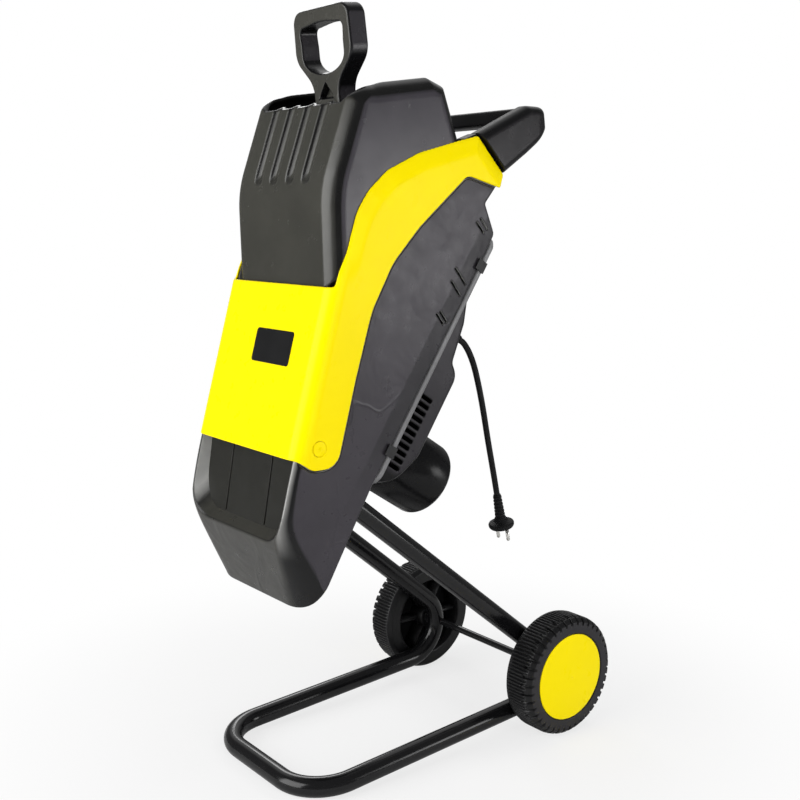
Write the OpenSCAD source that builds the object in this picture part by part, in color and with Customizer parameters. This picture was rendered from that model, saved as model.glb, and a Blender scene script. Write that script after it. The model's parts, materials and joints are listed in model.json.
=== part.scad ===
// Garden shredder: knife disc shredder on a two wheel tube frame, with hopper, plunger and rear motor.
// Millimetres, +Z up, front is -Y, ground at Z = 0.

/* [Wheels and frame] */
// wheel diameter over the tread
wheel_d = 160; // [150:1:170]
// wheel width over the tread
wheel_w = 46; // [40:1:48]
// hub cap diameter
cap_d = 112; // [96:1:116]
// axle rod diameter
axle_d = 10; // [8:0.5:12]
// frame tube diameter
tube_d = 25; // [22:0.5:26]
// frame tube wall
tube_wall = 1.5; // [1:0.1:2.5]
// corner radius of the ground U
corner_r = 58; // [50:1:66]

/* [Body] */
// half width of the front housing
body_half = 110; // [108:0.5:112]
// housing wall
wall = 4; // [3:0.5:4.5]
// thickness of the yellow saddle cover
skin = 3; // [2:0.5:4]
// rounding of the front edges
edge_r = 16; // [12:1:20]
// lean of the front face from vertical
front_lean = 15.5; // [15:0.1:16]
// half width of the rear cover drum
drum_half = 95; // [90:1:97]
// depth of the rear cover drum behind the parting ridge
drum_n = 58; // [55:1:60]

/* [Plunger] */
// width of the D handle
handle_w = 110; // [96:1:116]
// thickness of the D handle
handle_t = 29; // [24:1:32]
// half width of the feed channel
feed_half = 46; // [42:1:50]
// half depth of the feed channel
feed_deep = 28; // [25:1:30]
// running gap of the plunger foot in the feed channel
foot_gap = 2; // [1.5:0.5:3]

/* [Cutter and motor] */
// knife disc diameter
disc_d = 164; // [150:1:168]
// knife disc thickness
disc_t = 7; // [5:0.5:9]
// cutter shaft diameter
shaft_d = 17; // [15:1:20]
// outer diameter of the cutter bearings
bearing_d = 40; // [36:1:42]
// motor shaft diameter
rotor_d = 10; // [8:0.5:12]
// outer diameter of the motor bearings
small_bearing_d = 26; // [22:1:28]
// gear module
gear_m = 1.7; // [1.6:0.1:1.8]
// motor can outer diameter
can_d = 100; // [98:1:104]
// motor can end behind the parting ridge
can_n = 162; // [158:1:166]

/* [Clearances] */
// radial running clearance of shafts
run_gap = 0.06; // [0.03:0.01:0.1]
// gap round the push buttons and the knob screw
slide_gap = 0.4; // [0.3:0.1:0.6]

/* [Cord] */
// cord diameter
cord_d = 8; // [6.5:0.5:9]

/* [Hidden] */
$fn = 64;

// axle line and ground run
axle_y = 166;
axle_z = wheel_d / 2;
base_y = -211;
base_z = tube_d / 2;
// the two uprights stand just inside the housing walls
frame_half = body_half - 2;
bend_r = 50;
// the rear bends are a trace thicker, and the straight tubes run a little into them
lap = 1;
swell = 0.05;
bend_y = axle_y - bend_r;
run_rise = asin((axle_z - bend_r - base_z) / (bend_y - base_y));
run_len = (bend_y - base_y) / cos(run_rise);
upright_rise = 39.4;
bend_turn = 180 - upright_rise - run_rise;
upright_len = 412;
upright_tilt = 2.6;
hub_x = frame_half + tube_d / 2 + 1;
wheel_x = hub_x;
hub_len = wheel_w - 10;

// front and rear planes of the body
front_y = -224;
front_z = 414;
knee_y = -245;
knee_z = 338;
chin_lean = 20.5;
ridge_y = -117;
ridge_z = 371;
rear_lean = 33.4;
ridge_len = 345;
ridge_end_y = ridge_y + ridge_len * sin(rear_lean);
ridge_end_z = ridge_z + ridge_len * cos(rear_lean);
hopper_half = body_half - wall;
chute_y = -88;
chute_z = 823;
chute_lean = 6;
rim_z = -164;
rim = 3;
label_t = 1.2;

// cutter and motor axes, distances up the ridge
motor_u = 61;
pinion_teeth = 15;
gear_teeth = 45;
gear_a = gear_m * (pinion_teeth + gear_teeth) / 2;
cutter_u = motor_u + gear_a;
deck_u = cutter_u + gear_m * gear_teeth / 2 + 25.75;
gear_n = 28;
gear_w = 12;
plate_n = 4;
plate_t = 9;
disc_n = -22;
chute_n = disc_n - 9;
can_wall = 3;
can_r = can_d / 2;
stator_r = can_r - can_wall;
stator_n = 72;
can_start = 54;
boss_n = gear_n + gear_w + 3;
pad_n = 36;
switch_pad_n = 38;
bearing_w = 9;
knob_u = ridge_len - 33;
knob_n = 23;
knob_d = 8;
gland_u = deck_u + 52;
gland_x = 55;
gland_d = 14;
switch_u = deck_u + 50;
switch_x = -42;
switch_n = 46;
stator_len = 52;
fan_h = 7;
core_r = 27;
air_gap = 0.8;

// outline of the front housing seen from the side, Y and Z with corner radius
housing_pts = [[-330, 600, 0], [-330, 205, 0], [-207, 232, 12], [-189, 246, 10], [ridge_y, ridge_z, 0],
    [ridge_end_y, ridge_end_z, 10], [57, 696, 3], [89, 733, 0],
    [45, 779, 0], [14, 768, 0], [-50, 751, 30], [-95, 729, 30], [-124, 706, 30], [-143, 680, 30], [-152, 655, 30],
    [-166, 600, 0]];
// outline of the yellow saddle seen from the side
saddle_pts = [[-330, 415, 0], [-214, 415, 0], [-202, 402, 10], [-170, 402, 22], [-144, 497, 160], [-120, 575, 120],
    [-89, 629, 90], [-50, 669, 120], [24, 729, 14], [77, 715, 2], [89, 733, 0], [45, 779, 8], [14, 772, 0],
    [-48, 756, 60], [-95, 735, 40], [-122, 712, 40], [-141, 686, 40], [-151, 660, 60], [-167, 604, 6], [-330, 604, 0]];
// outline of the hopper seen from the side
hopper_pts = [[-168, 604, 0], [-171, 712, 60], [-137, 808, 3], [-120, 824, 14], [-26, 841, 14], [0, 832, 8],
    [24, 770, 0], [24, 655, 0], [-20, 655, 0], [-110, 604, 0]];
mouth_pts = [[-220, 610, 0], [-220, 860, 0], [-5, 860, 0], [-6, 834, 0], [19, 769, 0], [19, 660, 0], [-20, 660, 0],
    [-111, 610, 0]];
grip_pts = [[45, 779, 0], [126, 815, 14], [157, 810, 10], [166, 784, 8], [128, 758, 20], [89, 733, 0]];

function unit(v) = v / norm(v);
function flat(p) = [p[0], p[1]];
function wrap(a) = a > 180 ? a - 360 : a < -180 ? a + 360 : a;
function bow(p, q, s, r, n) = r <= 0 ? [q] :
    let(a = unit(p - q), b = unit(s - q), h = acos(a * b) / 2, c = q + unit(a + b) * r / sin(h),
        f = q + a * r / tan(h) - c, e = q + b * r / tan(h) - c, g = atan2(f[1], f[0]),
        d = wrap(atan2(e[1], e[0]) - g)) [for (i = [0 : n]) c + r * [cos(g + d * i / n), sin(g + d * i / n)]];
function soft(p) = let(k = len(p)) [for (i = [0 : k - 1])
    each bow(flat(p[(i + k - 1) % k]), flat(p[i]), flat(p[(i + 1) % k]), p[i][2], 5)];

// children drawn in Y and Z are extruded across the machine
module across(half) {
    rotate([90, 0, 90])
        translate([0, 0, -half])
            linear_extrude(2 * half) children();
}

// frame of the parting ridge: y runs up the ridge, z runs to the rear
module at_ridge(u = 0, n = 0) {
    translate([0, ridge_y + u * sin(rear_lean) + n * cos(rear_lean), ridge_z + u * cos(rear_lean) - n * sin(rear_lean)])
        rotate([-90 - rear_lean, 0, 0])
            rotate([0, 0, 180]) children();
}

// frame of the feed channel: z runs up along the plunger
module at_chute() {
    translate([0, chute_y, chute_z])
        rotate([chute_lean, 0, 0]) children();
}

module ring(r, inner, h) {
    difference() {
        cylinder(r = r, h = h);
        translate([0, 0, -1]) cylinder(r = inner, h = h + 2);
    }
}

module round_rect(w, d, r) {
    translate([-w / 2 + r, -d / 2]) square([w - 2 * r, d]);
    translate([-w / 2, -d / 2 + r]) square([w, d - 2 * r]);
    for (x = [-1, 1], y = [-1, 1]) {
        translate([x * (w / 2 - r), y * (d / 2 - r)]) circle(r = r);
    }
}

module rounded_front(half, y, r) {
    translate([-half, y + r]) square([2 * half, 460]);
    translate([-half + r, y]) square([2 * half - 2 * r, 460]);
    for (s = [-1, 1]) {
        translate([s * (half - r), y + r]) circle(r = r);
    }
}

// outer form of the body front: three leaning prisms with rounded edges, grown by g
module front_form(g) {
    translate([0, front_y, front_z])
        rotate([-front_lean, 0, 0])
            translate([0, 0, -420]) linear_extrude(900) rounded_front(body_half + g, -g, edge_r + g);
}

module nose_form(g) {
    intersection() {
        front_form(g);
        translate([0, knee_y - 1.3, knee_z])
            rotate([2.5, 0, 0])
                translate([0, 0, -300]) linear_extrude(900) rounded_front(body_half + g, -g, edge_r + 4 + g);
        translate([0, knee_y - 2.15, knee_z])
            rotate([chin_lean, 0, 0])
                translate([0, 0, -300]) linear_extrude(900) rounded_front(body_half + g, -g, edge_r + 9 + g);
    }
}

// one side of the frame tube with radius r: ground run, rear bend, upright
module tube_side(r, more) {
    translate([frame_half, 0, 0]) {
        translate([0, corner_r, 0]) rotate([-90, 0, 0]) cylinder(r = r, h = run_len - corner_r + lap);
        rotate([0, -upright_tilt, 0])
            translate([0, run_len, bend_r])
                rotate([90, 0, 90]) {
                    rotate([0, 0, -90]) rotate_extrude(angle = bend_turn) translate([bend_r, 0]) circle(r = r + swell);
                    rotate([0, 0, bend_turn - 90])
                        translate([bend_r, -lap, 0]) rotate([-90, 0, 0]) cylinder(r = r, h = upright_len + lap + more);
                }
    }
    translate([frame_half - corner_r, corner_r, 0])
        rotate([0, 0, -90]) rotate_extrude(angle = 90) translate([corner_r, 0]) circle(r = r);
}

module tube_path(r, more) {
    translate([0, base_y, base_z])
        rotate([run_rise, 0, 0]) {
            tube_side(r, more);
            mirror([1, 0, 0]) tube_side(r, more);
            translate([corner_r - frame_half, 0, 0])
                rotate([0, 90, 0]) cylinder(r = r, h = 2 * (frame_half - corner_r));
        }
}

// frame of one upright: z runs along the tube from the bend to the body
module at_upright(s) {
    translate([0, base_y, base_z])
        rotate([run_rise, 0, 0])
            mirror([s < 0 ? 1 : 0, 0, 0])
                translate([frame_half, 0, 0])
                    rotate([0, -upright_tilt, 0])
                        translate([0, run_len, bend_r])
                            rotate([90, 0, 90])
                                rotate([0, 0, bend_turn - 90])
                                    translate([bend_r, 0, 0]) rotate([-90, 0, 0]) children();
}

module on_axle() {
    translate([0, axle_y, axle_z])
        rotate([0, 90, 0]) children();
}

module frame_tube() {
    color([0.05, 0.05, 0.05])
        difference() {
            tube_path(tube_d / 2, 0);
            tube_path(tube_d / 2 - tube_wall, 1);
            on_axle() translate([0, 0, -200]) cylinder(d = axle_d, h = 400);
            for (s = [-1, 1]) {
                at_upright(s) translate([0, 0, upright_len - 24]) rotate([0, 90, 0]) cylinder(d = 6, h = 60, center = true);
            }
        }
}

module axle() {
    color([0.25, 0.25, 0.26])
        on_axle() {
            translate([0, 0, -hub_x - hub_len - 5]) cylinder(d = axle_d, h = 2 * (hub_x + hub_len + 5));
        }
}

module axle_washers() {
    color([0.6, 0.6, 0.6])
        for (s = [0, 1]) {
            mirror([s, 0, 0]) on_axle() translate([0, 0, hub_x - 0.9]) ring(axle_d, axle_d / 2, 0.6);
        }
}

module push_nuts() {
    color([0.6, 0.6, 0.62])
        for (s = [0, 1]) {
            mirror([s, 0, 0]) on_axle() translate([0, 0, hub_x + hub_len + 0.4]) ring(axle_d * 0.95, axle_d / 2, 2);
        }
}

module wheel() {
    on_axle()
        translate([0, 0, wheel_x]) {
            difference() {
                rotate_extrude()
                    polygon(soft([[cap_d / 2 + 0.4, 0, 0], [wheel_d / 2 - 6, 0, 4], [wheel_d / 2, 7, 4],
                        [wheel_d / 2, wheel_w - 7, 4], [wheel_d / 2 - 6, wheel_w, 4], [cap_d / 2 + 0.4, wheel_w, 0]]));
                for (a = [0 : 10 : 350]) {
                    rotate([0, 0, a]) translate([wheel_d / 2 - 2, -1.6, -1]) cube([5, 3.2, 10]);
                    rotate([0, 0, a + 5]) translate([wheel_d / 2 - 2, -1.6, wheel_w - 9]) cube([5, 3.2, 10]);
                }
                for (a = [0 : 7.5 : 355]) {
                    rotate([0, 0, a + 2]) translate([wheel_d / 2 - 1.2, -1.2, 9]) cube([3, 2.4, wheel_w - 18]);
                }
            }
            difference() {
                union() {
                    translate([0, 0, wheel_w - 16]) cylinder(d = cap_d + 2, h = 5);
                    cylinder(r = axle_d + 7, h = hub_len);
                    for (a = [0 : 60 : 300]) {
                        rotate([0, 0, a]) translate([axle_d + 4, -2, 8]) cube([cap_d / 2 - axle_d - 3, 4, wheel_w - 20]);
                    }
                }
                translate([0, 0, -1]) cylinder(r = axle_d / 2 + run_gap, h = hub_len + 2);
            }
        }
}

module wheel_right() {
    color([0.06, 0.06, 0.06]) wheel();
}

module wheel_left() {
    color([0.06, 0.06, 0.06]) mirror([1, 0, 0]) wheel();
}

module hub_cap() {
    on_axle()
        translate([0, 0, wheel_x + wheel_w - 11])
            rotate_extrude()
                polygon(soft([[cap_d / 2 - 3, 0, 0], [cap_d / 2, 0, 0], [cap_d / 2, 11, 2], [cap_d / 2 - 14, 13, 20], [0, 14, 0],
                    [0, 11.5, 0], [cap_d / 2 - 15, 10.5, 20], [cap_d / 2 - 3, 9, 0]]));
}

module hub_cap_right() {
    color([1, 0.9, 0]) hub_cap();
}

module hub_cap_left() {
    color([1, 0.9, 0]) mirror([1, 0, 0]) hub_cap();
}

module frame_bolts() {
    color([0.3, 0.3, 0.3])
        for (s = [-1, 1]) {
            at_upright(s)
                translate([0, 0, upright_len - 24])
                    rotate([0, 90, 0]) {
                        cylinder(d = 6, h = 26, center = true);
                    }
        }
}

// recess in the nose front with ledge and side rims
module nose_recess() {
    translate([0, front_y, front_z])
        rotate([-front_lean, 0, 0])
            translate([0, 0, -72]) {
                difference() {
                    translate([-84, -2, 0]) cube([168, 12, 90]);
                    for (x = [-29, 29]) {
                        translate([x - 1.2, 8.8, -1]) cube([2.4, 3, 92]);
                    }
                }
            }
}

module front_housing() {
    color([0.1, 0.1, 0.1])
        difference() {
            intersection() {
                across(body_half + 1) polygon(soft(housing_pts));
                nose_form(0);
            }
            difference() {
                intersection() {
                    across(body_half - wall)
                        polygon([[-330, 860], [-330, 225], [-203, 225], [-194, 249], [-122, 374], [-108, 381], [-98, 374],
                            [ridge_end_y + 6.0841, ridge_end_z - 22.0225], [ridge_end_y - 10.9159, ridge_end_z - 9.0225],
                            [50, 688], [26, 688], [26, 860]]);
                    nose_form(-wall - 0.01);
                }
                translate([0, front_y, front_z])
                    rotate([-front_lean, 0, 0]) translate([-92, -2, -78]) cube([184, 17, 104]);
                for (s = [-1, 1]) {
                    at_upright(s) translate([0, 0, upright_len - 70]) cylinder(r = tube_d / 2 + 4.5, h = 76);
                }
                at_ridge(knob_u, -16) {
                    cylinder(r = 12, h = 16);
                    translate([-2, 0, 0]) cube([4, 60, 16]);
                }
                cover_post_sites() translate([0, 0, -25]) {
                    cylinder(r = 7, h = 25);
                    translate([-30, -1.5, 0]) cube([60, 3, 25]);
                }
            }
            nose_recess();
            across(86) polygon([[27, 692], [200, 692], [200, 900], [27, 900]]);
            tube_bores();
            discharge();
            at_ridge(knob_u, -41) cylinder(d = knob_d + 2 * slide_gap, h = 80);
            cover_post_sites() translate([0, 0, -20]) cylinder(d = 5, h = 21);
            grip_bores();
            across(hopper_half + 0.01) polygon([[-330, 604], [-110, 604], [-20, 655], [26, 655], [26, 900], [-330, 900]]);
        }
}

module tube_bores() {
    for (s = [-1, 1]) {
        at_upright(s) {
            translate([0, 0, upright_len - 140]) cylinder(d = tube_d, h = 140);
            translate([0, 0, upright_len - 24]) rotate([0, 90, 0]) cylinder(d = 6, h = 26, center = true);
        }
    }
}

// chip outlet in the sloping underside of the nose
module discharge() {
    across(60)
        polygon([[-194, 268], [-152, 340], [-60, 290], [-100, 215]]);
}

module saddle_cover() {
    color([1, 0.9, 0])
        difference() {
            intersection() {
                across(body_half + skin + 1) polygon(soft(saddle_pts));
                difference() {
                    front_form(skin);
                    front_form(0);
                }
            }
            label_form(1);
            for (s = [-1, 1]) {
                translate([s * (body_half + skin / 2), -194, 426]) rotate([0, 90, 0]) cylinder(r = 9, h = 2 * skin, center = true);
            }
        }
}

module screw_caps() {
    color([1, 0.88, 0])
        for (s = [0, 1]) {
            mirror([s, 0, 0])
                translate([body_half, -194, 426])
                    rotate([0, 90, 0])
                        rotate_extrude() polygon([[0, 0], [8.7, 0], [8.7, skin], [8, skin + 0.6], [0, skin + 0.9]]);
        }
}

// plain plate let into the saddle, flush with it
module label_form(proud) {
    translate([0, front_y, front_z])
        rotate([-front_lean, 0, 0])
            translate([20, -skin - proud, 122])
                rotate([-90, 0, 0]) linear_extrude(label_t + proud) round_rect(78, 40, 4);
}

module label_plate() {
    color([0.04, 0.04, 0.04]) label_form(0);
}

// faceted outer form of the hopper front, drawn g smaller
module hopper_front(lean, y, z, g) {
    translate([0, y, z])
        rotate([-lean, 0, 0])
            translate([0, 0, -400])
                linear_extrude(900)
                    polygon([[0.4 * g - 86, g], [86 - 0.4 * g, g], [100 - 0.8 * g, 12 + 0.7 * g], [hopper_half - g, 24 + 0.4 * g],
                        [hopper_half - g, 400], [g - hopper_half, 400], [g - hopper_half, 24 + 0.4 * g],
                        [0.8 * g - 100, 12 + 0.7 * g]]);
}

module hopper_form(g) {
    intersection() {
        hopper_front(-1.6, -168, 604, g);
        hopper_front(19.5, -171, 712, g);
    }
}

// flutes of the hopper front, fading out above the knee, grown by g
module flutes(g) {
    for (x = [-50, -17, 17, 50]) {
        translate([x, -171, 712])
            rotate([-23, 0, 0])
                translate([0, -20, 10]) {
                    translate([-8 - g, 0, 0]) cube([16 + 2 * g, 20 + g, 120]);
                    rotate([-90, 0, 0]) cylinder(r = 8 + g, h = 20 + g);
                }
    }
}

module hopper() {
    color([0.12, 0.12, 0.12])
        difference() {
            union() {
                difference() {
                    intersection() {
                        across(hopper_half) polygon(soft(hopper_pts));
                        hopper_form(0);
                    }
                    difference() {
                        intersection() {
                            across(hopper_half - 5) polygon(soft(mouth_pts));
                            hopper_form(5);
                        }
                        flutes(4);
                    }
                    flutes(0);
                }
                intersection() {
                    at_chute() translate([-feed_half - rim, -feed_deep - rim, -420]) cube([2 * (feed_half + rim), 2 * (feed_deep + rim), 420 + rim_z]);
                    at_ridge(0, chute_n - 300) translate([-200, -100, 0]) cube([400, 600, 300]);
                }
            }
            at_chute() translate([-feed_half, -feed_deep, -430]) cube([2 * feed_half, 2 * feed_deep, 436 + rim_z]);
        }
}

module handle_face() {
    difference() {
        polygon(soft([[-handle_w / 2 + 2, 98, 16], [-handle_w / 2, 42, 26], [-25, 12, 26], [-25, -8, 0], [25, -8, 0],
            [25, 12, 26], [handle_w / 2, 42, 26], [handle_w / 2 - 2, 98, 16]]));
        polygon(soft([[-handle_w / 2 + 13, 78, 7], [0, 83, 120], [handle_w / 2 - 13, 78, 7], [handle_w / 2 - 11, 44, 20],
            [16, 25, 16], [-16, 25, 16], [-handle_w / 2 + 11, 44, 20]]));
    }
}

module plunger() {
    color([0.08, 0.08, 0.08])
        at_chute() {
            rotate([90, 0, 0]) translate([0, 0, -handle_t / 2]) linear_extrude(handle_t) handle_face();
            translate([-22, -11, -186]) cube([44, 22, 180]);
            for (x = [-1, 1]) {
                translate([x * 12 - 1.5, -18, -186]) cube([3, 36, 160]);
            }
            translate([0, 0, rim_z]) linear_extrude(5) round_rect(2 * (feed_half + rim), 2 * (feed_deep + rim), 6);
            translate([0, 0, -208])
                linear_extrude(22) round_rect(2 * (feed_half - foot_gap), 2 * (feed_deep - foot_gap), 6);
            translate([0, -handle_t / 2 - 4, -8])
                rotate([-90, 0, 0]) linear_extrude(5) polygon([[-20, 0], [20, 0], [0, -22]]);
        }
}

module transport_grip() {
    color([0.07, 0.07, 0.07])
        difference() {
            intersection() {
                across(body_half + skin) polygon(soft(grip_pts));
                translate([0, -135, 700]) linear_extrude(200) translate([0, 150.5]) round_rect(2 * body_half + 2 * skin, 301, 24);
            }
            translate([0, -160, 700]) linear_extrude(200) translate([0, 150]) round_rect(176, 300, 16);
            grip_bores();
        }
}

// screws that hold the grip on the horns
module at_grip_screws() {
    for (s = [-1, 1]) {
        translate([s * (body_half - 11), 67, 756])
            rotate([-46, 0, 0]) children();
    }
}

module grip_bores() {
    at_grip_screws() translate([0, 0, -16]) cylinder(d = 5, h = 28);
}

module grip_screws() {
    color([0.4, 0.4, 0.4])
        at_grip_screws() translate([0, 0, -16]) cylinder(d = 5, h = 28);
}

// side outline of the rear cover, up the ridge and to the rear
cover_pts = [[0, 0, 0], [0, 15, 8], [20, 41, 20], [62, drum_n, 30], [deck_u, drum_n, 10], [deck_u + 10, 44, 10],
    [deck_u + 59, 32, 20], [deck_u + 86, 20, 20], [ridge_len - 10, 6, 4], [ridge_len, 0, 0]];
hollow_pts = [[5, -1, 0], [5, 13, 6], [23, 38, 18], [63, drum_n - 4.5, 28], [deck_u - 2, drum_n - 4.5, 8], [deck_u + 8, 40, 8],
    [deck_u + 58, 28, 18], [deck_u + 85, 16, 18], [ridge_len - 15, 2.5, 0], [ridge_len - 11, -1, 0]];

// children drawn up the ridge and to the rear are extruded across
module cover_across(half) {
    at_ridge() rotate([0, -90, 0]) rotate([0, 0, 90]) rotate([180, 0, 0])
        translate([0, 0, -half]) linear_extrude(2 * half) children();
}

module drum(g, n) {
    at_ridge(deck_u / 2 + 4, -1)
        linear_extrude(n + 1) round_rect(2 * (drum_half - g), deck_u + 14 - 2 * g, 44 - g);
}

module vents() {
    for (s = [0, 1], i = [0 : 10]) {
        mirror([s, 0, 0])
            at_ridge(36 + 9.2 * i, 14)
                translate([-drum_half - 5, -2.4, 0]) cube([11, 4.8, 22]);
    }
}

module posts(r, n, h) {
    for (x = [15 - drum_half, drum_half - 15], u = [30, 178]) {
        at_ridge(u, n) translate([x, 0, 0]) cylinder(r = r, h = h);
    }
}

module cover_post_sites() {
    for (x = [26 - body_half, body_half - 26], u = [206, ridge_len - 27]) {
        at_ridge(u, 0) translate([x, 0, 0]) children();
    }
}

module rear_cover() {
    color([0.13, 0.13, 0.13])
        difference() {
            union() {
                difference() {
                    intersection() {
                        cover_across(drum_half) polygon(soft(cover_pts));
                        union() {
                            drum(0, 90);
                            at_ridge(120, -1) translate([-drum_half, 0, 0]) cube([2 * drum_half, ridge_len - 105, 60]);
                        }
                    }
                    intersection() {
                        cover_across(drum_half - 4) polygon(soft(hollow_pts));
                        union() {
                            drum(4, 90);
                            at_ridge(120, -1) translate([4 - drum_half, 0, 0]) cube([2 * drum_half - 8, ridge_len - 105, 60]);
                        }
                    }
                }
                intersection() {
                    posts(7, plate_n + plate_t, 60);
                    cover_across(drum_half) polygon(soft(cover_pts));
                }
                difference() {
                    at_ridge(0, 0) translate([0, ridge_len / 2 + 1, 0])
                        linear_extrude(5) round_rect(2 * body_half, ridge_len - 2, 20);
                    at_ridge(0, -1) translate([0, ridge_len / 2 + 1, 0])
                        linear_extrude(20) round_rect(2 * drum_half - 8, ridge_len - 14, 20);
                }
                intersection() {
                    cover_post_sites() cylinder(r = 9, h = 40);
                    cover_across(drum_half) polygon(soft(cover_pts));
                }
                at_ridge(knob_u, 4) cylinder(r = 14, h = knob_n - 4);
                at_ridge(motor_u, plate_n + plate_t) cylinder(r = can_r + 3, h = can_start + 8 - plate_n - plate_t);
                at_ridge(cutter_u, boss_n - 1) cylinder(r = bearing_d / 2 + 5, h = can_start - boss_n + 2);
                at_ridge(gland_u, 20) translate([-gland_x, 0, 0]) cylinder(r = gland_d / 2 + 6, h = pad_n - 20);
                at_ridge(switch_u, 24) translate([-switch_x, 0, 0]) linear_extrude(switch_pad_n - 24) round_rect(58, 74, 6);
            }
            vents();
            at_ridge(motor_u, can_start) cylinder(r = can_r, h = 100);
            difference() {
                at_ridge(motor_u, plate_n + plate_t - 1) cylinder(r = stator_r, h = can_start + 2 - plate_n - plate_t);
                at_ridge(cutter_u, boss_n - 0.5) cylinder(r = bearing_d / 2 + 4.5, h = can_start - boss_n + 4);
            }
            cover_post_sites() translate([0, 0, -1]) cylinder(d = 5, h = 60);
            cover_post_sites() translate([0, 0, 9]) cylinder(d = 10, h = 60);
            at_ridge(knob_u, -2) cylinder(d = knob_d + 2 * slide_gap, h = 60);
            at_ridge(cutter_u, plate_n + plate_t - 1)
                cylinder(r = gear_m * gear_teeth / 2 + 6, h = boss_n + 1 - plate_n - plate_t);
            at_ridge(cutter_u, boss_n - 1) cylinder(r = bearing_d / 2, h = bearing_w);
            at_ridge(gland_u, 20) translate([-gland_x, 0, 0]) cylinder(d = gland_d, h = 40);
            at_ridge(switch_u, 20) translate([-switch_x, 0, 0]) cube([44, 60, 60], center = true);
            at_ridge(switch_u, switch_pad_n) translate([-switch_x, 0, 0]) linear_extrude(40) round_rect(55, 71, 6);
            at_ridge(gland_u, pad_n) translate([-gland_x, 0, 0]) cylinder(r = gland_d / 2 + 3.5, h = 40);
            posts_screw_bores();
        }
}

module posts_screw_bores() {
    posts(2.5, plate_n - 1, 26);
}

module ridge_clips() {
    color([0.45, 0.45, 0.45])
        for (s = [-1, 1], u = [46, 300]) {
            at_ridge(u, -7) translate([s * (body_half + 1), 0, 7]) cube([2, 14, 14], center = true);
        }
}

module cover_screws() {
    color([0.5, 0.5, 0.5])
        cover_post_sites() {
            translate([0, 0, -20]) cylinder(d = 5, h = 30);
            translate([0, 0, 9]) cylinder(d = 9.6, h = 3);
        }
}

module locking_knob() {
    color([0.06, 0.06, 0.06])
        at_ridge(knob_u, 0) {
            translate([0, 0, -14]) cylinder(d = knob_d, h = knob_n + 18);
            translate([0, 0, knob_n + 0.4])
                difference() {
                    cylinder(r = 22, h = 20);
                    for (a = [0 : 60 : 300]) {
                        rotate([0, 0, a]) translate([25, 0, -1]) cylinder(r = 7, h = 22);
                    }
                }
        }
}

module motor_can() {
    color([0.09, 0.09, 0.09])
        at_ridge(motor_u, 0)
            rotate_extrude()
                polygon(soft([[stator_r, can_start, 0], [can_r, can_start, 0], [can_r, can_n, 9], [0, can_n, 0], [0, can_n - 4, 0],
                    [small_bearing_d / 2, can_n - 4, 0], [small_bearing_d / 2, can_n - 4 - bearing_w, 0],
                    [small_bearing_d / 2 + 3.5, can_n - 4 - bearing_w, 0], [small_bearing_d / 2 + 6, can_n - 4, 0],
                    [stator_r - 3, can_n - 4, 6], [stator_r - 3, stator_n + stator_len, 0],
                    [stator_r, stator_n + stator_len, 0]]));
}

module gear_plate() {
    color([0.62, 0.63, 0.64])
        difference() {
            at_ridge(0, plate_n) translate([0, 104, 0]) linear_extrude(plate_t) round_rect(2 * drum_half - 16, 176, 24);
            at_ridge(cutter_u, plate_n - 1) cylinder(d = bearing_d, h = plate_t + 2);
            at_ridge(motor_u, plate_n - 1) cylinder(d = small_bearing_d, h = plate_t + 2);
            posts_screw_bores();
        }
}

module plate_screws() {
    color([0.5, 0.5, 0.5]) {
        posts(2.5, plate_n, 20);
        posts(4.5, plate_n - 3, 3);
    }
}

module ball_bearing(outer, bore, w) {
    ring(outer / 2, outer / 2 - (outer - bore) * 0.16, w);
    ring(bore / 2 + (outer - bore) * 0.16, bore / 2 + run_gap, w);
    translate([0, 0, w / 2 - 1]) ring(outer / 2 - (outer - bore) * 0.16, bore / 2 + (outer - bore) * 0.16, 2);
}

module cutter_bearings() {
    color([0.7, 0.7, 0.72]) {
        at_ridge(cutter_u, plate_n) ball_bearing(bearing_d, shaft_d, plate_t);
        at_ridge(cutter_u, boss_n) ball_bearing(bearing_d, shaft_d, bearing_w - 1);
    }
}

module cutter_shaft() {
    color([0.55, 0.55, 0.57])
        at_ridge(cutter_u, 0) {
            translate([0, 0, disc_n - 8]) cylinder(d = shaft_d - 3, h = 8 + disc_t);
            translate([0, 0, disc_n + disc_t]) cylinder(r = shaft_d / 2 + 12, h = 8);
            translate([0, 0, disc_n + disc_t]) cylinder(r = shaft_d / 2 + 3, h = plate_n - disc_n - disc_t - 0.5);
            translate([0, 0, disc_n + disc_t]) cylinder(d = shaft_d, h = boss_n + bearing_w - 2 - disc_n - disc_t);
        }
}

// involute flank from the base circle
function flank(rb, a) = rb * [cos(a) + a * PI / 180 * sin(a), sin(a) - a * PI / 180 * cos(a)];
function spin(p, a) = [p[0] * cos(a) - p[1] * sin(a), p[0] * sin(a) + p[1] * cos(a)];
function roll(rb, r) = r <= rb ? 0 : sqrt(r * r / rb / rb - 1) * 180 / PI;
function tooth(z, m, play) = let(rp = m * z / 2, rb = rp * cos(20), ra = rp + 0.9 * m, rf = rp - 1.2 * m,
    lo = max(rb, rf), base = roll(rb, rp) - 20, half = 90 / z - play / rp * 90 / PI + base,
    f = [for (i = [0 : 4]) spin(flank(rb, roll(rb, lo + (ra - lo) * i / 4)), -half)])
    concat([rf * [cos(-half), sin(-half)]], f, [for (i = [4 : -1 : 0]) [f[i][0], -f[i][1]]], [rf * [cos(half), sin(half)]]);
function wheel_rim(z, m, play) = [for (i = [0 : z - 1]) each [for (p = tooth(z, m, play)) spin(p, 360 * i / z)]];

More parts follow.
